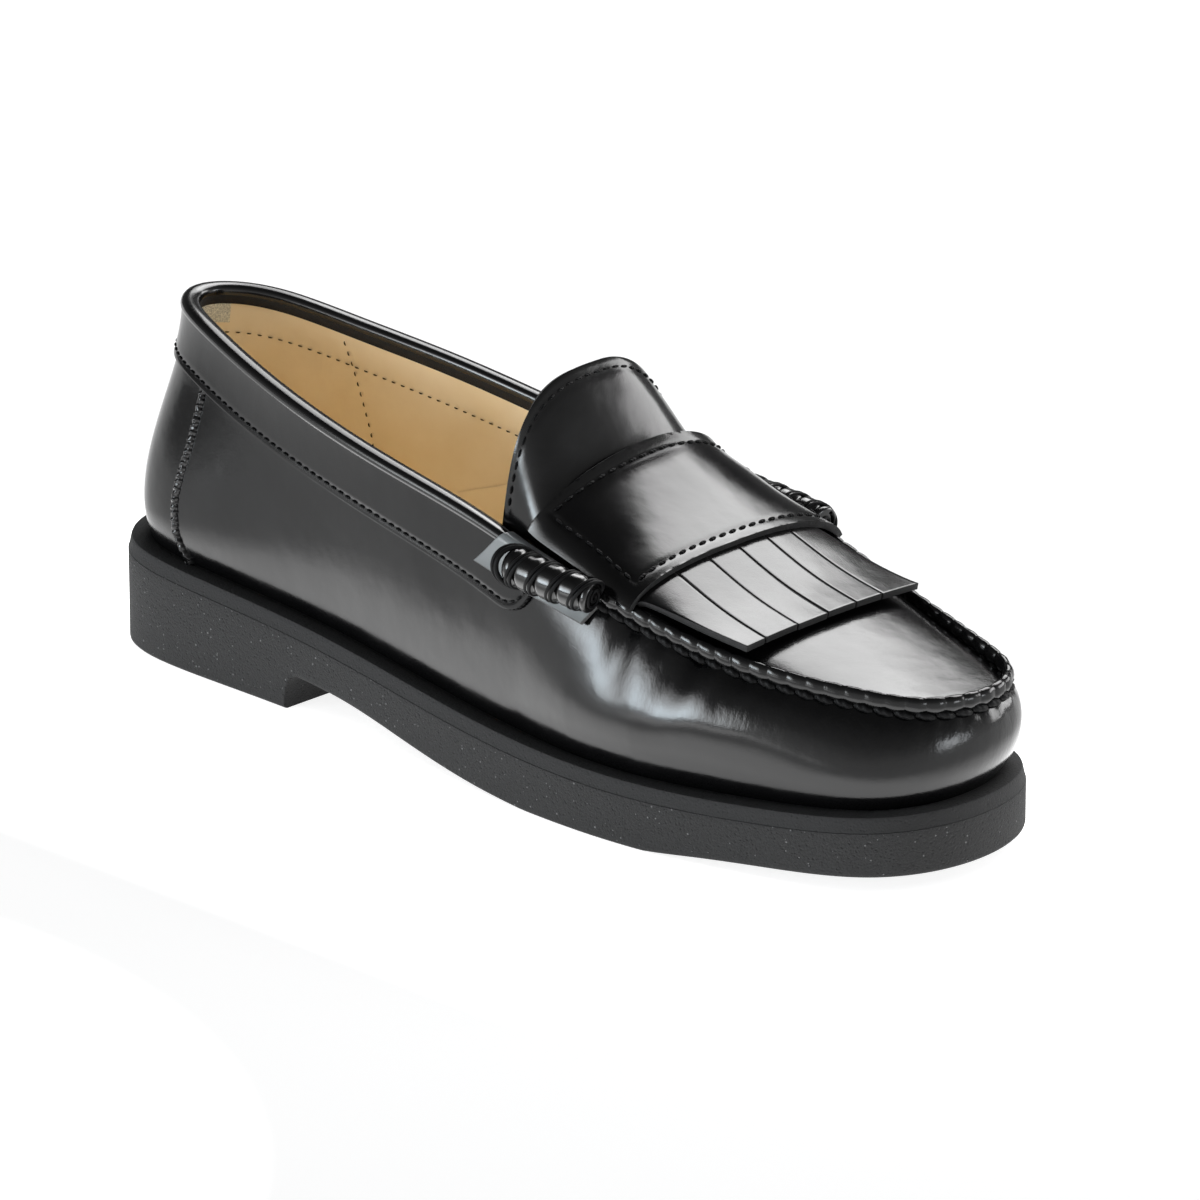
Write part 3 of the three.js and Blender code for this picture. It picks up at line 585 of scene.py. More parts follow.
def leatherGrainGroup():
    # grain of polished calf: shallow cells and fine unevenness over the slow waves of a hand-lasted skin
    group, given, out = newGroup("leatherGrain", [
        ("Place", "NodeSocketVector", None), ("Cell Size", "NodeSocketFloat", 1500.0),
        ("Wave Size", "NodeSocketFloat", 110.0), ("Wave Depth", "NodeSocketFloat", 1.0),
    ], [("Height", "NodeSocketFloat"), ("Mottle", "NodeSocketFloat")])
    place = given["Place"]
    warp = addNode(group, "ShaderNodeTexNoise", None, Vector=place, Scale=600.0, Detail=1.0)
    shifted = addNode(group, "ShaderNodeMix", {"data_type": "VECTOR"}, i0=0.0006, i4=place,
                      i5=warp.outputs["Color"]).outputs[1]
    cells = addNode(group, "ShaderNodeTexVoronoi", {"feature": "DISTANCE_TO_EDGE"}, Vector=shifted,
                    Scale=given["Cell Size"])
    cell = ramp(group, cells.outputs["Distance"], 0.0, 0.25)
    waves = noise(group, place, given["Wave Size"], 1.5)
    fine = noise(group, place, 420.0, 2.0)
    wave = maths(group, "MULTIPLY", waves, given["Wave Depth"])
    height = maths(group, "ADD", maths(group, "MULTIPLY", cell, 0.035), wave)
    height = maths(group, "ADD", height, maths(group, "MULTIPLY", fine, 0.16))
    group.links.new(height, out["Height"])
    group.links.new(noise(group, place, 60.0, 3.0), out["Mottle"])
    return group


def threadTwistGroup():
    # the lay of a twisted thread, across a stitch's own map
    group, given, out = newGroup("threadTwist", [
        ("Along", "NodeSocketFloat", 0.0), ("Round", "NodeSocketFloat", 0.0),
        ("Turns", "NodeSocketFloat", 9.0),
    ], [("Height", "NodeSocketFloat")])
    turned = maths(group, "ADD", maths(group, "MULTIPLY", given["Along"], given["Turns"]),
                   maths(group, "MULTIPLY", given["Round"], 2.0))
    group.links.new(maths(group, "SINE", turned), out["Height"])
    return group


leatherGrain = leatherGrainGroup()
threadTwist = threadTwistGroup()


def newMaterial(name):
    material = bpy.data.materials.new(name)
    material.use_nodes = True
    tree = material.node_tree
    shader = tree.nodes["Principled BSDF"]
    return material, tree, shader


def bumped(tree, shader, height, strength, distance):
    bump = addNode(tree, "ShaderNodeBump", None, Height=height, Strength=strength, Distance=distance)
    tree.links.new(bump.outputs[0], shader.inputs["Normal"])


def objectPlace(tree):
    return addNode(tree, "ShaderNodeTexCoord").outputs["Object"]


def polishedLeather(name, tint, rough, waveDepth, coat, wrinkled=False):
    material, tree, shader = newMaterial(name)
    place = objectPlace(tree)
    grain = addNode(tree, "ShaderNodeGroup", {"node_tree": leatherGrain}, Place=place)
    grain.inputs["Wave Depth"].default_value = waveDepth
    mottle = grain.outputs["Mottle"]
    dark = tuple(0.75 * c for c in tint)
    tree.links.new(mixColours(tree, mottle, dark, tint), shader.inputs["Base Color"])
    tree.links.new(ramp(tree, mottle, 0.3, 0.7, (rough - 0.03, rough + 0.04)), shader.inputs["Roughness"])
    shader.inputs["Coat Weight"].default_value = coat
    shader.inputs["Coat Roughness"].default_value = 0.08
    shader.inputs["IOR"].default_value = 1.43
    height = grain.outputs["Height"]
    if wrinkled:
        flexed = addNode(tree, "ShaderNodeAttribute", {"attribute_name": "flexed"}).outputs["Fac"]
        stretched = addNode(tree, "ShaderNodeMapping", None, Vector=place, Scale=(1.0, 0.7, 0.28)).outputs[0]
        fine = noise(tree, stretched, 620.0, 3.0, 0.6)
        folds = maths(tree, "MULTIPLY", fine, maths(tree, "MULTIPLY", flexed, 0.9))
        height = maths(tree, "ADD", height, folds)
    bumped(tree, shader, height, 0.5, 0.0003)
    return material


def rawEdge(name, tint, pale=1.6):
    # cut edge of the leather: matt, fibrous
    material, tree, shader = newMaterial(name)
    place = objectPlace(tree)
    fibre = noise(tree, place, 2500.0, 4.0, 0.7)
    ends = [[share * c for c in tint] for share in (0.5, pale)]
    colour = mixColours(tree, ramp(tree, fibre, 0.35, 0.65), *ends)
    tree.links.new(colour, shader.inputs["Base Color"])
    shader.inputs["Roughness"].default_value = 0.75
    bumped(tree, shader, fibre, 0.6, 0.0004)
    return material


def liningLeather():
    material, tree, shader = newMaterial("liningLeather")
    place = objectPlace(tree)
    grain = addNode(tree, "ShaderNodeGroup", {"node_tree": leatherGrain}, Place=place)
    grain.inputs["Cell Size"].default_value = 1100.0
    grain.inputs["Wave Depth"].default_value = 0.7
    mottle = ramp(tree, grain.outputs["Mottle"], 0.3, 0.7)
    colour = mixColours(tree, mottle, (0.93, 0.745, 0.46), (1.0, 0.83, 0.56))
    tree.links.new(colour, shader.inputs["Base Color"])
    shader.inputs["Roughness"].default_value = 0.55
    bumped(tree, shader, grain.outputs["Height"], 0.6, 0.0004)
    return material


def foamRubber():
    # moulded foam: sanded flank with pinholes and pale crumbs, smoother along the top
    material, tree, shader = newMaterial("foamRubber")
    place = objectPlace(tree)
    skin = noise(tree, place, 1700.0, 4.0, 0.65)
    specks = addNode(tree, "ShaderNodeTexVoronoi", {"feature": "F1"}, Vector=place, Scale=850.0)
    size = addNode(tree, "ShaderNodeSeparateColor", None, Color=specks.outputs["Color"])
    reach = ramp(tree, size.outputs[0], 0.72, 1.0, (0.03, 0.24))
    crumb = maths(tree, "LESS_THAN", specks.outputs["Distance"], reach)
    pits = addNode(tree, "ShaderNodeTexVoronoi", {"feature": "F1"}, Vector=place, Scale=800.0)
    pit = ramp(tree, pits.outputs["Distance"], 0.0, 0.35)
    band = addNode(tree, "ShaderNodeAttribute", {"attribute_name": "smoothBand"}).outputs["Fac"]
    base = mixColours(tree, ramp(tree, skin, 0.3, 0.7), (0.005, 0.005, 0.0053), (0.014, 0.014, 0.0145))
    smooth = mixColours(tree, band, base, (0.0065, 0.0065, 0.007))
    rough = maths(tree, "SUBTRACT", 1.0, band)
    mask = maths(tree, "MULTIPLY", crumb, rough)
    tree.links.new(mixColours(tree, mask, smooth, (0.10, 0.10, 0.102)), shader.inputs["Base Color"])
    tree.links.new(ramp(tree, band, 0.0, 1.0, (0.85, 0.82)), shader.inputs["Roughness"])
    height = maths(tree, "ADD", maths(tree, "MULTIPLY", skin, 0.8), maths(tree, "MULTIPLY", pit, 0.5))
    height = maths(tree, "MULTIPLY", height, ramp(tree, band, 0.0, 1.0, (1.0, 0.4)))
    bumped(tree, shader, height, 0.9, 0.0008)
    return material


def waxedThread(name, tint, rough):
    material, tree, shader = newMaterial(name)
    spread = addNode(tree, "ShaderNodeUVMap")
    ends = addNode(tree, "ShaderNodeSeparateXYZ", None, Vector=spread.outputs[0])
    twist = addNode(tree, "ShaderNodeGroup", {"node_tree": threadTwist}, Along=ends.outputs[0],
                    Round=ends.outputs[1])
    lay = ramp(tree, twist.outputs[0], -1.0, 1.0)
    # the thread is darker where its lay dips between the twists: painted shade in the grooves
    tree.links.new(mixColours(tree, lay, [0.4 * c for c in tint], tint), shader.inputs["Base Color"])
    shader.inputs["Roughness"].default_value = rough
    shader.inputs["Specular IOR Level"].default_value = 0.12
    bumped(tree, shader, lay, 0.7, 0.0002)
    return material


blackLeather = polishedLeather("blackLeather", (0.0018, 0.0018, 0.002), 0.17, 1.0, 0.12, wrinkled=True)
trimLeather = polishedLeather("trimLeather", (0.002, 0.002, 0.0022), 0.19, 0.4, 0.4)
seamLeather = polishedLeather("seamLeather", (0.004, 0.004, 0.0042), 0.15, 2.4, 0.0)
tabLeather = polishedLeather("tabLeather", (0.2, 0.215, 0.22), 0.2, 0.4, 0.4)
blackEdge = rawEdge("blackEdge", (0.006, 0.006, 0.0063))
# cut edge of the tabs, made pale grey as a painted highlight where the rounded edge catches the light
paintedHighlightEdge = rawEdge("paintedHighlightEdge", (0.07, 0.07, 0.07))
fleshSide = rawEdge("fleshSide", (0.004, 0.0038, 0.0035))
tanLeather = liningLeather()
paleCloth = rawEdge("paleCloth", (0.85, 0.8, 0.62), 1.1)
soleFoam = foamRubber()
cutLeather = (blackLeather, fleshSide, blackEdge)  # shown side, inner side, cut edge
blackThread = waxedThread("blackThread", (0.006, 0.006, 0.0065), 0.5)
brownThread = waxedThread("brownThread", (0.10, 0.065, 0.035), 0.7)
print("materials ready")

# Sole

sole = {
    "breast": 10, "heelBlock": 76, "breastFillet": 4, "toeSpring": 5.5, "tuckRound": 2,
    "flat": (0.6, 0.742), "bevelHeight": 4, "floorRound": 1.2,
    "underRows": {
        "along": [0.268, 0.353, 0.442, 0.53, 0.6, 0.742, 0.795, 0.883, 1],
        "arch": [1, 0.83, 0.45, 0.13, 0, 0, 0, 0, 0],
        "spring": [0, 0, 0, 0, 0, 0, 0.3, 0.64, 1],
    },
}
archRise = smoothCurve(sole["underRows"]["along"], sole["underRows"]["arch"])
springRise = smoothCurve(sole["underRows"]["along"], sole["underRows"]["spring"])


def underHeight(x):
    along = x / last["soleLength"]
    beyond = x - sole["heelBlock"]
    flat = (along > sole["flat"][0]) & (along < sole["flat"][1])
    under = np.where(flat, 0, sole["breast"] * archRise(along) + sole["toeSpring"] * springRise(along))
    fillet = np.clip(beyond / sole["breastFillet"], 0, 1)
    under = np.maximum(0, under) * np.sqrt(1 - (1 - fillet) ** 2)
    tuck = sole["tuckRound"] * np.maximum(0, 1 - x / (2 * sole["tuckRound"])) ** 2
    return np.where(beyond <= 0, tuck, under)


def buildSole():
    filletShares = (0, 0.02, 0.06, 0.15, 0.3, 0.6, 1)
    breaks = [sole["heelBlock"] + share * sole["breastFillet"] for share in filletShares]
    kept = list(np.degrees(np.arccos(1 - 2 * np.array(breaks) / last["soleLength"])))
    for turn in np.linspace(0, 180, 181):
        if min(abs(turn - other) for other in kept) > 0.4:
            kept.append(turn)
    turns = np.sort(np.array(kept))
    levels = [(1.2, 0, 0), (0.55, 0, 0.2), (0.15, 0, 0.6), (0, 0, 1.2)]  # inset, share, height past it
    levels += [(0, share, 0) for share in (0.15, 0.3, 0.5, 0.7, 0.85, 1)]
    levels += [(0.06, 1, 0.25), (0.3, 1, 1.0), (0.62, 1, 2.4), (0.85, 1, 3.4), (1.05, 1, 3.85), (1.5, 1, 4.0)]
    levels += [(3, 1, 4.0), (5.2, 1, 3.95), (6.2, 1, 3.6)]

    def ring(inset, share, past, side):
        at = turns if side else 360 - turns
        point = outlineAt(at, np.full(len(turns), inset))[0]
        x = stationX(turns)
        low = underHeight(x)
        high = rimHeight(x) - sole["bevelHeight"]
        start = low + (sole["floorRound"] if share else 0)
        return np.column_stack([point, start + (high - start) * share + past])

    lateral = [ring(*level, True) for level in levels]
    medial = [ring(*level, False) for level in levels]

    def across(first, second, count):
        return [first + (second - first) * i / count for i in range(1, count)]

    under = across(medial[0], lateral[0], 12)
    over = across(lateral[-1], medial[-1], 6)
    places = np.array(lateral + over + medial[::-1] + under + lateral[:1])
    piece = formedGrid("outsoleFoam", np.transpose(places, (1, 0, 2)))
    band = piece.data.attributes.new("smoothBand", "FLOAT", "POINT")
    smoothLevels = [1.0 if level[1] == 1 and level[2] > 0.1 else 0.0 for level in levels]
    smoothLevels = smoothLevels + [1.0] * len(over) + smoothLevels[::-1] + [0.0] * len(under) + [0.0]
    band.data.foreach_set("value", np.tile(smoothLevels, len(turns)))
    weld(piece, 0.01, outwards=True)
    finishPiece(piece, ["outsole"], [soleFoam], angle=35)


buildSole()
print("sole built")

# Upper

upperSizes = {"leather": 1.3, "lining": 0.6, "wallRows": 46, "apronBack": 190, "apronColumns": 90}


def ringTurns(fine, coarse, frontFrom):
    # closer stations where the seam gathers the wall
    half = list(np.arange(0, frontFrom, coarse)) + list(np.arange(frontFrom, 180, fine))
    return np.array(half + [180] + [360 - turn for turn in half[:0:-1]] + [360])


def buildWall():
    turns = ringTurns(fine=0.4, coarse=1.0, frontFrom=104)
    shares = 1 - np.linspace(1, 0, upperSizes["wallRows"]) ** 1.5
    share, turn = np.meshgrid(shares, turns, indexing="ij")
    places = onWall(turn, share, wallRelief(turn, share))[0]
    piece = formedGrid("upperWall", places, (blackLeather, fleshSide))
    flexed = piece.data.attributes.new("flexed", "FLOAT", "POINT")
    x = topEdge(turn)[..., 0]
    down = (1 - share) * wallLength(turn)
    near = np.clip((x - flexZone["back"]) / flexZone["rise"], 0, 1) * np.exp(-(down / flexZone["reach"]) ** 2)
    flexed.data.foreach_set("value", near.ravel())
    weld(piece, 0.01)
    giveWall(piece, upperSizes["leather"], 0, (1, 1))
    finishPiece(piece, ["upper"])


def buildApron():
    beside = np.linspace(topTurn(upperSizes["apronBack"]), 170, 90)
    turns = np.concatenate([beside, np.linspace(170.5, 179.9, 24)])
    sides = np.sin(np.linspace(-1, 1, upperSizes["apronColumns"]) * math.pi / 2)
    x = topEdge(turns)[:, 0]
    station, side = np.meshgrid(x, sides * 0.998)
    places = archPlace(station, side, False)[0]
    piece = formedGrid("apron", places, (blackLeather, fleshSide))
    giveWall(piece, upperSizes["leather"], 0, (1, 1))
    finishPiece(piece, ["upper"])


buildWall()
buildApron()
print("upper built")

# Raised seam of the moccasin toe

seamRidge = {"back": 187, "halfWidth": 1.3, "halfHeight": 2.2, "rise": 2.1, "out": 0.3, "puff": 0.36,
             "sides": 14}
ropeStitch = {"length": 5.8, "radius": 1.0, "slant": 0.18, "down": 0.25, "out": 1.1}


def seamFrames(runs):
    turns = turnAtRun(runs)
    origin = topEdge(turns)
    wallWay = onWall(turns, np.ones(len(turns)))[1]
    out = unit(np.column_stack([wallWay[:, :2], np.zeros(len(turns))]))
    up = np.tile([0, 0, 1.0], (len(turns), 1))
    return origin, out, up


def buildSeam():
    first = seamRun(topTurn(seamRidge["back"]))
    final = seamRun(360 - topTurn(seamRidge["back"]))
    runs = np.arange(first, final, 0.36)
    origin, out, up = seamFrames(runs)
    middle = origin + up * seamRidge["rise"] + out * seamRidge["out"]
    pinch = np.abs(np.cos(math.pi * runs / seam["stitchPitch"])) ** 0.7
    wrinkle = np.sin(runs * 5.3) * np.sin(runs * 3.1 + 1) * 0.5 + np.sin(runs * 8.9 + 2) * 0.3
    angles = np.linspace(0, 2 * math.pi, seamRidge["sides"], endpoint=False)

    def section(i):
        puff = 1 + seamRidge["puff"] * (pinch[i] - 0.6) + 0.09 * wrinkle[i]
        tall = 1 + 0.12 * (pinch[i] - 0.6) + 0.05 * wrinkle[i]
        return np.column_stack([np.cos(angles) * seamRidge["halfWidth"] * puff,
                                np.sin(angles) * seamRidge["halfHeight"] * tall])

    piece = sweptTube("seamRidge", middle, out, up, section)
    finishPiece(piece, ["apron_seam"], [seamLeather])

    pitch = seam["stitchPitch"]
    marks = (np.arange(math.ceil(first / pitch), math.floor(final / pitch)) + 0.5) * pitch
    shape = stitchShape(sides=9, rings=9, dip=0.5, taper=0.3)
    origin, out, up = seamFrames(marks)
    ahead, behind = seamFrames(marks + 1)[0], seamFrames(marks - 1)[0]
    way = unit(ahead - behind)
    outerWay = unit(way - up * ropeStitch["slant"])
    lower = origin + out * ropeStitch["out"] - up * ropeStitch["down"]
    size = (ropeStitch["length"] / 2, ropeStitch["radius"], ropeStitch["radius"])
    outer = joinedCopies("seamRopeOuter", shape, lower, outerWay, unit(out + 0.4 * up), size)
    finishPiece(outer, materials=[blackThread], angle=60)
    higher = origin - out * 1.25 + up * 0.7
    inner = joinedCopies("seamRopeInner", shape, higher, way, unit(up - 0.6 * out), (pitch * 0.34, 0.5, 0.5))
    finishPiece(inner, materials=[blackThread], angle=60)


buildSeam()
print("seam built")

# Tongue, strap and fringe

tongueSizes = {"back": 156, "front": 197, "leather": 2.0, "stitchIn": 1.4, "pitch": 3.3, "skirt": 9}
strapSizes = {"leather": 1.9, "reach": 0.88, "backIn": 2.2, "frontIn": 3.0, "nearStitch": 0.905,
              "pitch": 3.6, "lift": 4.1}
fringeSizes = {"leather": 1.8, "back": 191, "length": 41, "slit": 0.42, "bow": 1.0, "rise": 0.8,
               "lift": 2.25, "atStrap": [-0.348, -0.216, -0.096, 0.019, 0.127, 0.217, 0.322],
               "atTip": [-0.29, -0.228, -0.105, 0.012, 0.121, 0.222, 0.35]}


def pulledIn(places, rows, depth, width=0.8):
    # how far the sewing draws the leather in beside its rows
    points = np.concatenate(rows)
    nearest = np.array([np.sqrt(((line[:, None] - points) ** 2).sum(-1).min(-1)) for line in places])
    return -depth * np.exp(-(nearest / width) ** 2)


def archSides(count, reach=1.0):
    # stations across the arch, closer together where it turns down to the wall
    swing = np.sin(np.linspace(-1, 1, count) * math.pi / 2) * math.pi / 2 * reach
    return np.sign(swing) * np.abs(np.sin(swing)) ** 0.8


def buildTongue():
    stations = np.linspace(tongueSizes["back"], tongueSizes["front"], 60)
    side, x = np.meshgrid(archSides(120), stations, indexing="ij")
    line = archSides(200, 0.985)
    place = np.full(200, float(tongueSizes["back"] + tongueSizes["stitchIn"]))
    row = archPlace(place, line, True, np.zeros(200))
    under = -0.3 * np.clip((x - 182) / 4, 0, 1)
    lift = under + pulledIn(archPlace(x, side, True)[0], [row[0]], 0.16)
    places = archPlace(x, side, True, lift)[0]
    drops = np.linspace(0, tongueSizes["skirt"], 5)[1:, None, None] * np.array([0, 0, -1.0])
    places = np.concatenate([(places[:1] + drops)[::-1], places, places[-1:] + drops])
    piece = formedGrid("tongueLeather", places, cutLeather)
    giveWall(piece, tongueSizes["leather"], 0.3, (1, 2))
    finishPiece(piece, ["tongue"])
    stitchLine([row], "tongueStitches", tongueSizes["pitch"], 0.33, blackThread, 0.05)


def buildStrap():
    back, front = strapSpan
    stations = np.linspace(back, front, 66)
    side, x = np.meshgrid(archSides(200, strapSizes["reach"]), stations, indexing="ij")
    high = np.full(200, strapSizes["lift"])
    across = archSides(200, 1.0) * strapSizes["nearStitch"]
    ends = back + strapSizes["backIn"], front - strapSizes["frontIn"]
    rows = [archPlace(np.full(200, place), across, True, high) for place in ends]
    cross = np.linspace(*ends, 60)
    aside = np.full(60, strapSizes["nearStitch"])
    rows += [archPlace(cross, sign * aside, True, high[:60]) for sign in (-1, 1)]
    flat = archPlace(x, side, True, np.full(x.shape, strapSizes["lift"]))[0]
    lift = strapSizes["lift"] + pulledIn(flat, [row[0] for row in rows], 0.22)
    piece = formedGrid("saddleStrap", archPlace(x, side, True, lift)[0], cutLeather)
    giveWall(piece, strapSizes["leather"], 0.25, (1, 2))
    finishPiece(piece, ["saddle_strap"])
    stitchLine(rows, "strapStitches", strapSizes["pitch"], 0.36, blackThread, 0.02)


def buildFringe():
    tip = fringeSizes["back"] + fringeSizes["length"]
    front = strapSpan[1]
    stations = np.concatenate([np.linspace(fringeSizes["back"], front, 6)[:-1], np.linspace(front, tip, 44)])
    count = len(fringeSizes["atStrap"]) - 1
    for i in range(count):
        first, second = (0 if i == 0 else 0.5), (0 if i == count - 1 else 0.5)
        shares = np.linspace(0, 1, 16)
        share, x = np.meshgrid(shares, stations, indexing="ij")
        out = np.clip((x - front) / (tip - front), 0, 1)
        atStrap, atTip = fringeSizes["atStrap"], fringeSizes["atTip"]
        low = last["soleWidth"] * (atStrap[i] + (atTip[i] - atStrap[i]) * out) + fringeSizes["slit"] * first
        high = last["soleWidth"] * (atStrap[i + 1] + (atTip[i + 1] - atStrap[i + 1]) * out)
        high = high - fringeSizes["slit"] * second
        y = low + (high - low) * share
        side = archSide(x, y)
        lift = np.full(x.shape, fringeSizes["lift"])
        places = archPlace(x, side, True, lift)[0]
        flat = archPlace(x, np.zeros(x.shape), True, lift)[0][..., 2] - fringeSizes["bow"] * side ** 2
        level = places[..., 2] + (flat - places[..., 2]) * np.sqrt(out)
        places[..., 2] = level + fringeSizes["rise"] * out ** 2 + 0.12 * math.sin(2.3 * i) * out
        piece = formedGrid("fringeStrip%d" % (i + 1), places, cutLeather)
        giveWall(piece, fringeSizes["leather"], 0.12, (1, 2))
        finishPiece(piece, ["fringe"])


buildTongue()
buildStrap()
buildFringe()
print("tongue, strap and fringe built")

# Collar: binding, band and heel strips

collar = {"outside": 1.1, "inside": 3.6, "band": 16.2, "bandBack": 0.7, "bandLeather": 1.2,
          "capStart": 157, "capLength": 13, "capPower": 2.3, "rowIn": 1.7, "pitch": 2.9,
          "bandTurns": [0, 40, 70, 103], "bandWidths": [0.82, 0.9, 0.96, 1]}
bandWidth = smoothCurve(collar["bandTurns"], collar["bandWidths"])
heelStrip = {"down": [14, 30, 44, 53, 60], "turn": [34.5, 36.2, 36.3, 37.5, 40.6], "width": 2.5, "rib": 1.7}
tab = {"start": 155, "end": 190.5, "backSlant": 6.5, "frontSlant": 3, "backWidth": 8.7, "frontWidth": 6.8,
       "leather": 1.3, "overBand": 1.05, "flare": 0.7,
       "over": [(1.2, 0.1), (2.2, 0.8), (2.8, 2.2), (2.6, 4.2)]}


def aroundHeel(turn, step=1.0):
    return np.arange(-turn, turn + 0.01, 2 * turn / round(2 * turn / step))


def bandDown(turn):
    return collar["band"] * bandWidth(np.abs(turn))


def buildBinding():
    turns = aroundHeel(float(topTurn(tab["start"] + 2)))
    origin = topEdge(turns)
    top = onWall(turns, np.ones(len(turns)))
    out = top[1]
    up = unit(top[0] - onWall(turns, belowTop(turns, 1.0))[0])
    wall = upperSizes["leather"] + upperSizes["lining"] + 0.3
    low, deep = -collar["outside"], -collar["inside"]
    profile = np.array([
        (0.3, low), (1.25, low + 0.05), (1.5, -0.7), (1.55, 0), (1.3, 0.8), (0.75, 1.4), (0.1, 1.65),
        (-wall / 2, 1.75), (-wall - 0.3, 1.5), (-wall - 0.9, 1.0), (-wall - 1.2, 0.3), (-wall - 1.2, -1.0),
        (-wall - 1.05, -2.2), (-wall - 0.85, deep + 0.3), (-wall - 0.65, deep), (-wall - 0.05, deep),
        (-wall - 0.05, -0.4), (0.1, -0.4), (0.1, low),
    ])
    piece = sweptTube("collarBinding", origin, out, up, lambda i: profile, (trimLeather, fleshSide))
    facing = np.arange(len(piece.data.polygons)) % len(profile)
    piece.data.polygons.foreach_set("material_index", ((facing > 10) & (facing < 15)).astype(int))
    finishPiece(piece, ["collar_binding"], angle=50)


def bandLine(inset):
    # the band's lower edge, moved in by inset, with its round front ends: turn and distance below the top
    power = collar["capPower"]
    swing = np.radians(np.linspace(0, 82, 40))
    capTurns = topTurn(collar["capStart"] + (collar["capLength"] - inset) * np.sin(swing) ** (2 / power))
    capDown = (bandDown(capTurns[0]) - inset) * np.cos(swing) ** (2 / power)
    turns = np.arange(0, capTurns[0] - 0.2, 0.5)
    half = np.concatenate([turns, capTurns])
    down = np.concatenate([bandDown(turns) - inset, capDown])
    return np.concatenate([-half[:0:-1], half]), np.concatenate([down[:0:-1], down])


def bandRow(inset, lift):
    turn, down = bandLine(inset)
    return onWall(turn, belowTop(turn, down), lift)


def buildBand():
    turns, edge = bandLine(0)
    share, turn = np.meshgrid(1 - np.linspace(0, 1, 34), turns, indexing="ij")
    down = collar["bandBack"] + (edge - collar["bandBack"]) * share
    row = bandRow(collar["rowIn"], collar["bandLeather"])
    flat = onWall(turn, belowTop(turn, down), collar["bandLeather"])[0]
    lift = collar["bandLeather"] + pulledIn(flat, [row[0]], 0.2, 0.7)
    places = onWall(turn, belowTop(turn, down), lift)[0]
    piece = formedGrid("collarBand", places, cutLeather)
    giveWall(piece, collar["bandLeather"] + 0.2, 0.25, (1, 2))
    finishPiece(piece, ["collar_band"])
    stitchLine([row], "bandStitches", collar["pitch"], 0.34, blackThread, -0.02)
    rib = bandRow(0.05, collar["bandLeather"] * 0.45)
    stitchLine([rib], "bandEdgeRib", 1.5, 0.42, blackThread, 0.0, 1.15)


def buildHeelStrip(sign, name, node):
    down, side = np.meshgrid(np.linspace(13.2, 60, 230), np.linspace(-1, 1, 17), indexing="ij")
    path = np.interp(down, heelStrip["down"], heelStrip["turn"])
    down = np.minimum(down, wallLength(sign * path) - 0.2)
    reach = np.linalg.norm(onWall(36, 0.5)[0] - onWall(37, 0.5)[0])
    twist = np.sin(2 * math.pi * (down / heelStrip["rib"] + side * 0.45))
    twist = twist + 0.6 * np.sin(2 * math.pi * (down / 3.1 - side * 0.3))
    twist = twist + 0.4 * np.sin(down * 6.1 + side * 4)
    swell = np.clip(1 - side ** 2, 0, 1)
    lift = -0.15 + 1.1 * np.sqrt(swell) + 0.13 * twist * swell
    wander = 0.12 * np.sin(down * 2.3) + 0.1 * np.sin(down * 5.2)
    turn = sign * path + (side * (heelStrip["width"] / 2 + wander)) / reach
    places = onWall(turn, belowTop(turn, down), lift)[0]
    piece = formedGrid(name, places[::-1])
    giveWall(piece, 0.7)
    finishPiece(piece, [node], [seamLeather])


buildBinding()
buildBand()
buildHeelStrip(1, "heelStripLateral", "heel_strip_lateral")
buildHeelStrip(-1, "heelStripMedial", "heel_strip_medial")
print("collar built")

# Tabs and the rolled ends of the strap

roll = {"back": 166, "front": 190.5, "radius": 4.5, "frontRadius": 3.6, "bulge": 0.75, "wraps": 4,
        "slant": 0.085, "loopTurn": 122, "loopAt": 0.15, "loopBow": 0.19, "sag": (20, 44), "lift": (14, 12),
        "clear": 6.6, "thread": 0.52, "pair": 1.12}


def buildTab(sign, name, node):
    shares = np.linspace(0, 1, 60) if sign > 0 else np.linspace(1, 0, 60)
    low, share = np.meshgrid(np.linspace(1, 0.0, 28), shares, indexing="ij")
    back = tab["start"] - tab["backSlant"] * low
    x = back + (tab["end"] - tab["frontSlant"] * low - back) * share
    down = low * (tab["backWidth"] + (tab["frontWidth"] - tab["backWidth"]) * share)
    overBand = tab["overBand"] * np.clip((175 - x) / 8, 0, 1)
    lift = 0.2 + tab["leather"] + overBand + tab["flare"] * low ** 3
    turn = sign * topTurn(x)
    places, out = onWall(turn, belowTop(turn, down), lift)
    top, up = places[-1], unit(places[-1] - places[-2])
    over = [top + up * rise - out[-1] * back for rise, back in tab["over"]]
    piece = formedGrid(name, np.concatenate([places, over]), (tabLeather, fleshSide, paintedHighlightEdge))
    giveWall(piece, tab["leather"], 0.3, (1, 2))
    finishPiece(piece, [node])


def rollFrames(at, sign):
    turns = sign * (topTurn(roll["back"]) + (topTurn(roll["front"]) - topTurn(roll["back"])) * at)
    origin = topEdge(turns)
    top = onWall(turns, np.ones(len(turns)))
    out = top[1]
    up = unit(top[0] - onWall(turns, belowTop(turns, 1.0))[0])
    sag, lift = (roll[key][0 if sign > 0 else 1] for key in ("sag", "lift"))
    angle = np.radians(lift * at - sag)[:, None]
    return origin + out * roll["clear"] * np.cos(angle) + up * roll["clear"] * np.sin(angle), out, up


def rollRadius(at):
    return roll["radius"] + (roll["frontRadius"] - roll["radius"]) * np.clip(at, 0, 1)


def rollPoint(at, angle, sign, beyond):
    # a place on the roll's skin: at along it, angle from its outer side towards the top
    middle, out, up = rollFrames(at, sign)
    radial = out * np.cos(angle)[:, None] + up * np.sin(angle)[:, None]
    return middle + radial * (rollRadius(at) + beyond)[:, None], radial


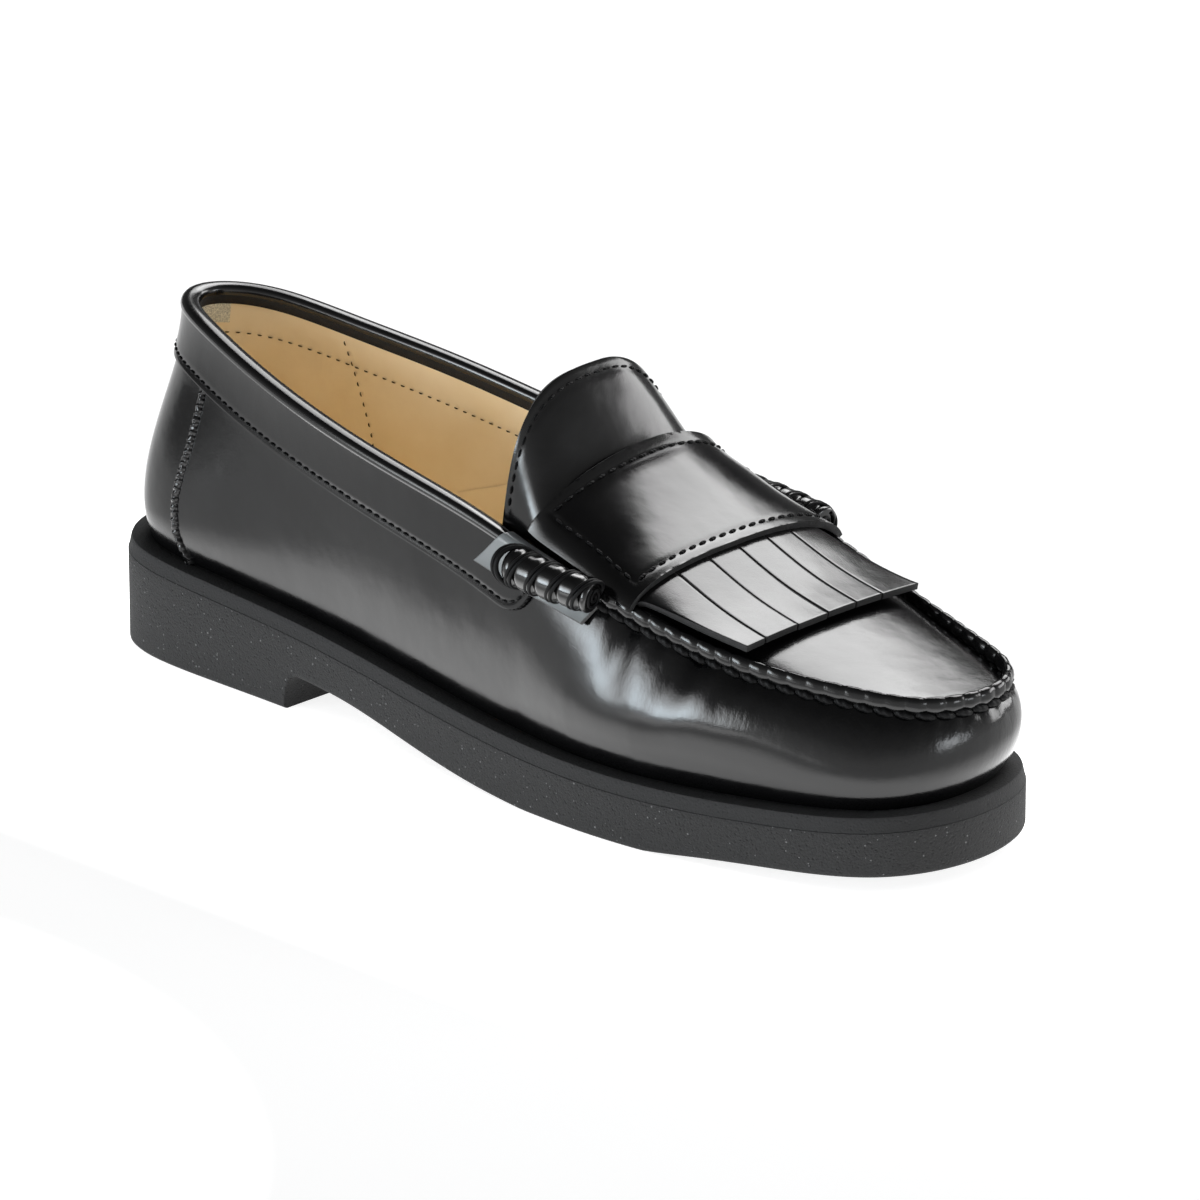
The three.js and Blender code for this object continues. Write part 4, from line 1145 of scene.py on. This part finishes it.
def threadAlong(name, path, radial, radius, closed=False):
    corners = np.linspace(0, 2 * math.pi, 8, endpoint=False)
    circle = np.column_stack([np.cos(corners), np.sin(corners)]) * radius
    ahead, behind = np.roll(path, -1, 0), np.roll(path, 1, 0)
    if not closed:
        ahead[-1], behind[0] = path[-1], path[0]
    across = unit(np.cross(ahead - behind, radial))
    thread = sweptTube(name, path, radial, across, lambda i: circle, closed=closed)
    finishPiece(thread, materials=[blackThread], angle=60)


def buildRoll(sign, name, node):
    at = np.linspace(0, 1, 110)
    middle, out, up = rollFrames(at, sign)
    wraps = (np.arange(roll["wraps"]) + 0.62) / roll["wraps"]
    pinch = sum(np.exp(-((at - place) / 0.035) ** 2) for place in wraps)
    radius = rollRadius(at) + roll["bulge"] * np.clip(1 - pinch, 0, 1)
    radius = radius - 1.1 * np.exp(-at / 0.03) - 0.7 * np.exp((at - 1) / 0.015)
    angles = np.linspace(0, 2 * math.pi, 36, endpoint=False)

    def section(i):
        return np.column_stack([np.cos(angles), np.sin(angles)]) * radius[i]

    piece = sweptTube(name, middle, out, up, section)
    finishPiece(piece, [node], [trimLeather], angle=50)
    length = roll["front"] - roll["back"]
    fine = np.linspace(0, 2 * math.pi, 57)[:-1]
    count = 0
    for place in wraps:
        for shift in (-0.5, 0.5):
            along = place + shift * roll["pair"] / length + roll["slant"] * np.sin(fine) * sign
            count += 1
            threadAlong("%sWrap%d" % (name, count), *rollPoint(along, fine, sign, 0.5), roll["thread"], True)
    for index, ahead in enumerate((0.0, 0.045)):
        swing = np.radians(np.linspace(-roll["loopTurn"], roll["loopTurn"], 60))
        along = roll["loopAt"] - ahead - roll["loopBow"] * np.cos(swing * 0.75)
        path, radial = rollPoint(along, swing, sign, 0.6)
        threadAlong("%sLoop%d" % (name, index + 1), path, radial, roll["thread"] * 1.25)
    spin = np.linspace(0.6, 4.1 * math.pi, 80)
    tip, outWay, upWay = (value[0] for value in rollFrames(np.array([1.0]), sign))
    ahead = unit(tip - rollFrames(np.array([0.98]), sign)[0][0])
    radial = np.cos(spin)[:, None] * outWay + np.sin(spin)[:, None] * upWay
    path = tip + radial * (roll["frontRadius"] - 0.5) * (spin / spin[-1])[:, None] + ahead * 0.15
    threadAlong(name + "Spiral", path, radial, 0.4)
    low = []
    for way in (-1, 1):
        swing = np.full(60, math.radians(118) * way)
        path, radial = rollPoint(np.linspace(0.06, 0.98, 60), swing, sign, 0.1)
        low.append((path, unit(radial + rollFrames(np.linspace(0.06, 0.98, 60), sign)[1] * 0.8)))
    stitchLine(low, name + "Rope", 3.1, 0.62, blackThread, 0.1, 1.12)


for sign, side in ((1, "Lateral"), (-1, "Medial")):
    buildTab(sign, "strapTab" + side, "strap_tab_" + side.lower())
    buildRoll(sign, "beefRoll" + side, "beef_roll_" + side.lower())
print("tabs and rolls built")

# Lining and insole

inside = {"stitchDown": 11.9, "pitch": 2.9, "insoleRise": 3.0, "patch": (12.5, 9), "frontDrop": 10,
          "seamDown": [1, 11.6, 30, 55], "seamTurn": [40.2, 43.2, 47.5, 52],
          "panelX": [84, 99, 140], "panelDown": [34, 25.5, 20]}


def buildLining():
    turns = aroundHeel(float(topTurn(186)), 1.5)
    share, turn = np.meshgrid(np.linspace(0, 1, 30), turns[::-1], indexing="ij")
    front = float(topTurn(157))
    drop = 0.4 + inside["frontDrop"] * np.clip((np.abs(turn) - front) / 3, 0, 1)
    places = onWall(turn, belowTop(turn, drop) * share, -upperSizes["leather"] - 0.15)[0]
    piece = formedGrid("quarterLining", places)
    giveWall(piece, upperSizes["lining"])
    finishPiece(piece, ["upper"], [tanLeather])
    depth = -upperSizes["leather"] - upperSizes["lining"] - 0.15
    line = aroundHeel(front, 0.5)
    place, out = onWall(line, belowTop(line, inside["stitchDown"]), depth)
    rows = [(place, -out)]
    down = np.linspace(inside["seamDown"][0] + 3, inside["seamDown"][-1], 80)
    for sign in (-1, 1):
        turn = sign * np.interp(down, inside["seamDown"], inside["seamTurn"])
        cross, crossOut = onWall(turn, belowTop(turn, down), depth)
        rows.append((cross, -crossOut))
    stitchLine(rows, "liningStitches", inside["pitch"], 0.2, brownThread, 0.02, 0.42)


def buildLiningPanels():
    # the front part of the lining, lapped over the quarters, and the cloth patch at the heel
    depth = -upperSizes["leather"] - upperSizes["lining"] - 0.45
    for sign, side in ((1, "Lateral"), (-1, "Medial")):
        shares = np.linspace(0, 1, 50) if sign < 0 else np.linspace(1, 0, 50)
        low, share = np.meshgrid(np.linspace(0, 1, 24), shares, indexing="ij")
        x = inside["panelX"][0] + (inside["panelX"][-1] - inside["panelX"][0]) * share
        turn = sign * topTurn(x)
        top = belowTop(turn, np.interp(x, inside["panelX"], inside["panelDown"]))
        piece = formedGrid("liningPanel" + side, onWall(turn, 0.12 + (top - 0.12) * low, depth)[0])
        giveWall(piece, 0.5, 0.15)
        finishPiece(piece, materials=[tanLeather])
    half, tall = inside["patch"]
    low, turn = np.meshgrid(np.linspace(0, 1, 8), np.linspace(half, -half, 24), indexing="ij")
    piece = formedGrid("heelPatch", onWall(turn, belowTop(turn, tall - (tall - 0.5) * low), depth)[0])
    giveWall(piece, 0.3, 0.1)
    finishPiece(piece, materials=[paleCloth])


def buildInsole():
    turns = np.linspace(0, 180, 120)
    inset = last["ledge"] + upperSizes["leather"] + upperSizes["lining"] + 0.5
    lateral = outlineAt(turns, np.full(120, inset))[0]
    medial = outlineAt(360 - turns, np.full(120, inset))[0]
    shares = np.linspace(0, 1, 40)
    share, index = np.meshgrid(shares, np.arange(120), indexing="ij")
    flat = lateral[index] + (medial[index] - lateral[index]) * share[..., None]
    height = rimHeight(flat[..., 0]) + last["fit"] + inside["insoleRise"] + 1.2 * (2 * share - 1) ** 4
    piece = formedGrid("insoleSock", np.concatenate([flat, height[..., None]], -1))
    weld(piece, 0.01)
    giveWall(piece, 2.6)
    finishPiece(piece, ["insole"], [tanLeather])


buildLining()
buildLiningPanels()
buildInsole()
print("lining and insole built")

# Floor, lights and camera

view = {"azimuth": 44, "elevation": 20.3, "distance": 2200, "target": (155.3, 0, 41),
        "focal": 8710, "frame": 1200, "sensor": 36}
# painted light on the floor: a glow around the shoe fading to far, a painted pool of light beside it, and
# painted contact shadow near the sole
floorGlow = {"back": (-0.11, -0.03, 0), "front": (0.11, -0.01, 0), "fade": (0.062, 0.115), "far": 0.26,
             "strength": 2.4, "contact": 0.022, "contactShade": 0.35, "sidePool": (0, -0.38, 0),
             "sideFade": (0.05, 0.2), "sideGlow": 1.3, "size": 12, "grey": 0.36, "rough": 0.9}
# way to the window as azimuth, reach and height, and the distances from it where its light fades
window = {"azimuth": -116, "reach": 0.99, "height": 0.09, "fade": (0.05, 0.46), "power": 1.5,
          "radiance": 17.0, "tint": (0.82, 0.93, 1)}
# front: the bright side's direction; each fade is from, to and both strengths
room = {"front": (0.87, 0.5), "across": (-0.7, 0.15, (0.16, 1.0)), "low": (0.0, 0.45, (1.0, 0.35)),
        "high": (0.45, 0.9, (1.0, 0.3))}
# azimuth, elevation, distance, size, radiance and tint
softBoxes = {"softBoxBack": (109, 49, 1.6, (1.6, 0.9), 4.0),
             "softBoxBackMiddle": (107, 50, 1.5, (1.0, 0.6), 4.4),
             "softBoxToe": (64, 16, 1.6, (1.0, 0.5), 6),
             "softBoxFront": (12, 10, 1.6, (0.5, 0.3), 7, (0.92, 0.96, 1))}


def paleFloor():
    # a white table with painted light: its glow is brightest around the shoe and in a pool beside it, and
    # painted contact shadow dims it close to the shoe
    material, tree, shader = newMaterial("paleFloor")
    shader.inputs["Base Color"].default_value = (*[floorGlow["grey"]] * 3, 1)
    shader.inputs["Roughness"].default_value = floorGlow["rough"]
    place = objectPlace(tree)
    ahead = addNode(tree, "ShaderNodeVectorMath", {"operation": "MAXIMUM"}, i0=place, i1=floorGlow["back"])
    nearest = addNode(tree, "ShaderNodeVectorMath", {"operation": "MINIMUM"}, i0=ahead.outputs[0],
                      i1=floorGlow["front"])
    apart = distanceTo(tree, place, nearest.outputs[0])
    around = ramp(tree, apart, *floorGlow["fade"], (1.0, floorGlow["far"]))
    beside = distanceTo(tree, place, floorGlow["sidePool"])
    side = ramp(tree, beside, *floorGlow["sideFade"], (floorGlow["sideGlow"], 0.0))
    pool = maths(tree, "ADD", around, side)
    # painted contact shadow: the floor's glow is dimmed where the shoe stands close
    unshaded = addNode(tree, "ShaderNodeAmbientOcclusion", {"samples": 3}, Distance=floorGlow["contact"])
    contact = ramp(tree, unshaded.outputs["AO"], 0.5, 1.0, (floorGlow["contactShade"], 1.0))
    glow = maths(tree, "MULTIPLY", pool, contact)
    shade = addNode(tree, "ShaderNodeCombineColor", None, Red=glow, Green=glow, Blue=glow)
    tree.links.new(shade.outputs[0], shader.inputs["Emission Color"])
    shader.inputs["Emission Strength"].default_value = floorGlow["strength"]
    deselectAll()
    bpy.ops.mesh.primitive_plane_add(size=floorGlow["size"], location=(0, 0, 0))
    floor = bpy.context.object
    floor.name = "floor"
    floor.data.materials.append(material)


def setCamera():
    data = bpy.data.cameras.new("camera")
    camera = bpy.data.objects.new("camera", data)
    bpy.context.scene.collection.objects.link(camera)
    azimuth, elevation = math.radians(view["azimuth"]), math.radians(view["elevation"])
    back = Vector((math.sin(azimuth) * math.cos(elevation), -math.cos(azimuth) * math.cos(elevation),
                   math.sin(elevation)))
    target = Vector(toFrame(view["target"]))
    camera.location = target + back * view["distance"] * mm
    camera.rotation_euler = (-back).to_track_quat("-Z", "Y").to_euler()
    data.sensor_width = view["sensor"]
    data.lens = view["focal"] / view["frame"] * view["sensor"]
    data.clip_end = 50
    bpy.context.scene.camera = camera


def softBox(name, azimuth, elevation, distance, size, radiance, tint=(1, 1, 1)):
    azimuth, elevation = math.radians(azimuth), math.radians(elevation)
    level = distance * math.cos(elevation)
    place = Vector((level * math.cos(azimuth), level * math.sin(azimuth), distance * math.sin(elevation)))
    data = bpy.data.lights.new(name, "AREA")
    data.shape = "RECTANGLE"
    data.size, data.size_y = size
    data.energy = radiance * math.pi * size[0] * size[1]
    data.color = tint
    light = bpy.data.objects.new(name, data)
    bpy.context.scene.collection.objects.link(light)
    light.location = place
    light.rotation_euler = (Vector((0, 0, 0.05)) - place).to_track_quat("-Z", "Y").to_euler()


def studioRoom():
    # bright near the horizon in front of the shoe, dim overhead and behind it, with a cool window beside it
    world = bpy.data.worlds.new("studio")
    world.use_nodes = True
    tree = world.node_tree
    way = addNode(tree, "ShaderNodeTexCoord").outputs["Generated"]
    parts = addNode(tree, "ShaderNodeSeparateXYZ", None, Vector=way).outputs
    ahead, aside = [maths(tree, "MULTIPLY", parts[axis], room["front"][axis]) for axis in (0, 1)]
    across = ramp(tree, maths(tree, "SUBTRACT", ahead, aside), *room["across"])
    low, high = [ramp(tree, parts[2], *room[part]) for part in ("low", "high")]
    strength = maths(tree, "MULTIPLY", maths(tree, "MULTIPLY", low, high), across)
    azimuth = math.radians(window["azimuth"])
    middle = (math.cos(azimuth) * window["reach"], math.sin(azimuth) * window["reach"], window["height"])
    near = ramp(tree, distanceTo(tree, way, middle), *window["fade"], (1.0, 0.0))
    soft = maths(tree, "POWER", near, window["power"])
    strength = maths(tree, "ADD", strength, maths(tree, "MULTIPLY", soft, window["radiance"]))
    tree.links.new(strength, tree.nodes["Background"].inputs["Strength"])
    tint = mixColours(tree, soft, (1, 1, 1), window["tint"])
    tree.links.new(tint, tree.nodes["Background"].inputs["Color"])
    bpy.context.scene.world = world


paleFloor()
for name, values in softBoxes.items():
    softBox(name, *values)
setCamera()
studioRoom()
bpy.context.scene.view_settings.view_transform = "Standard"
print("stage set")
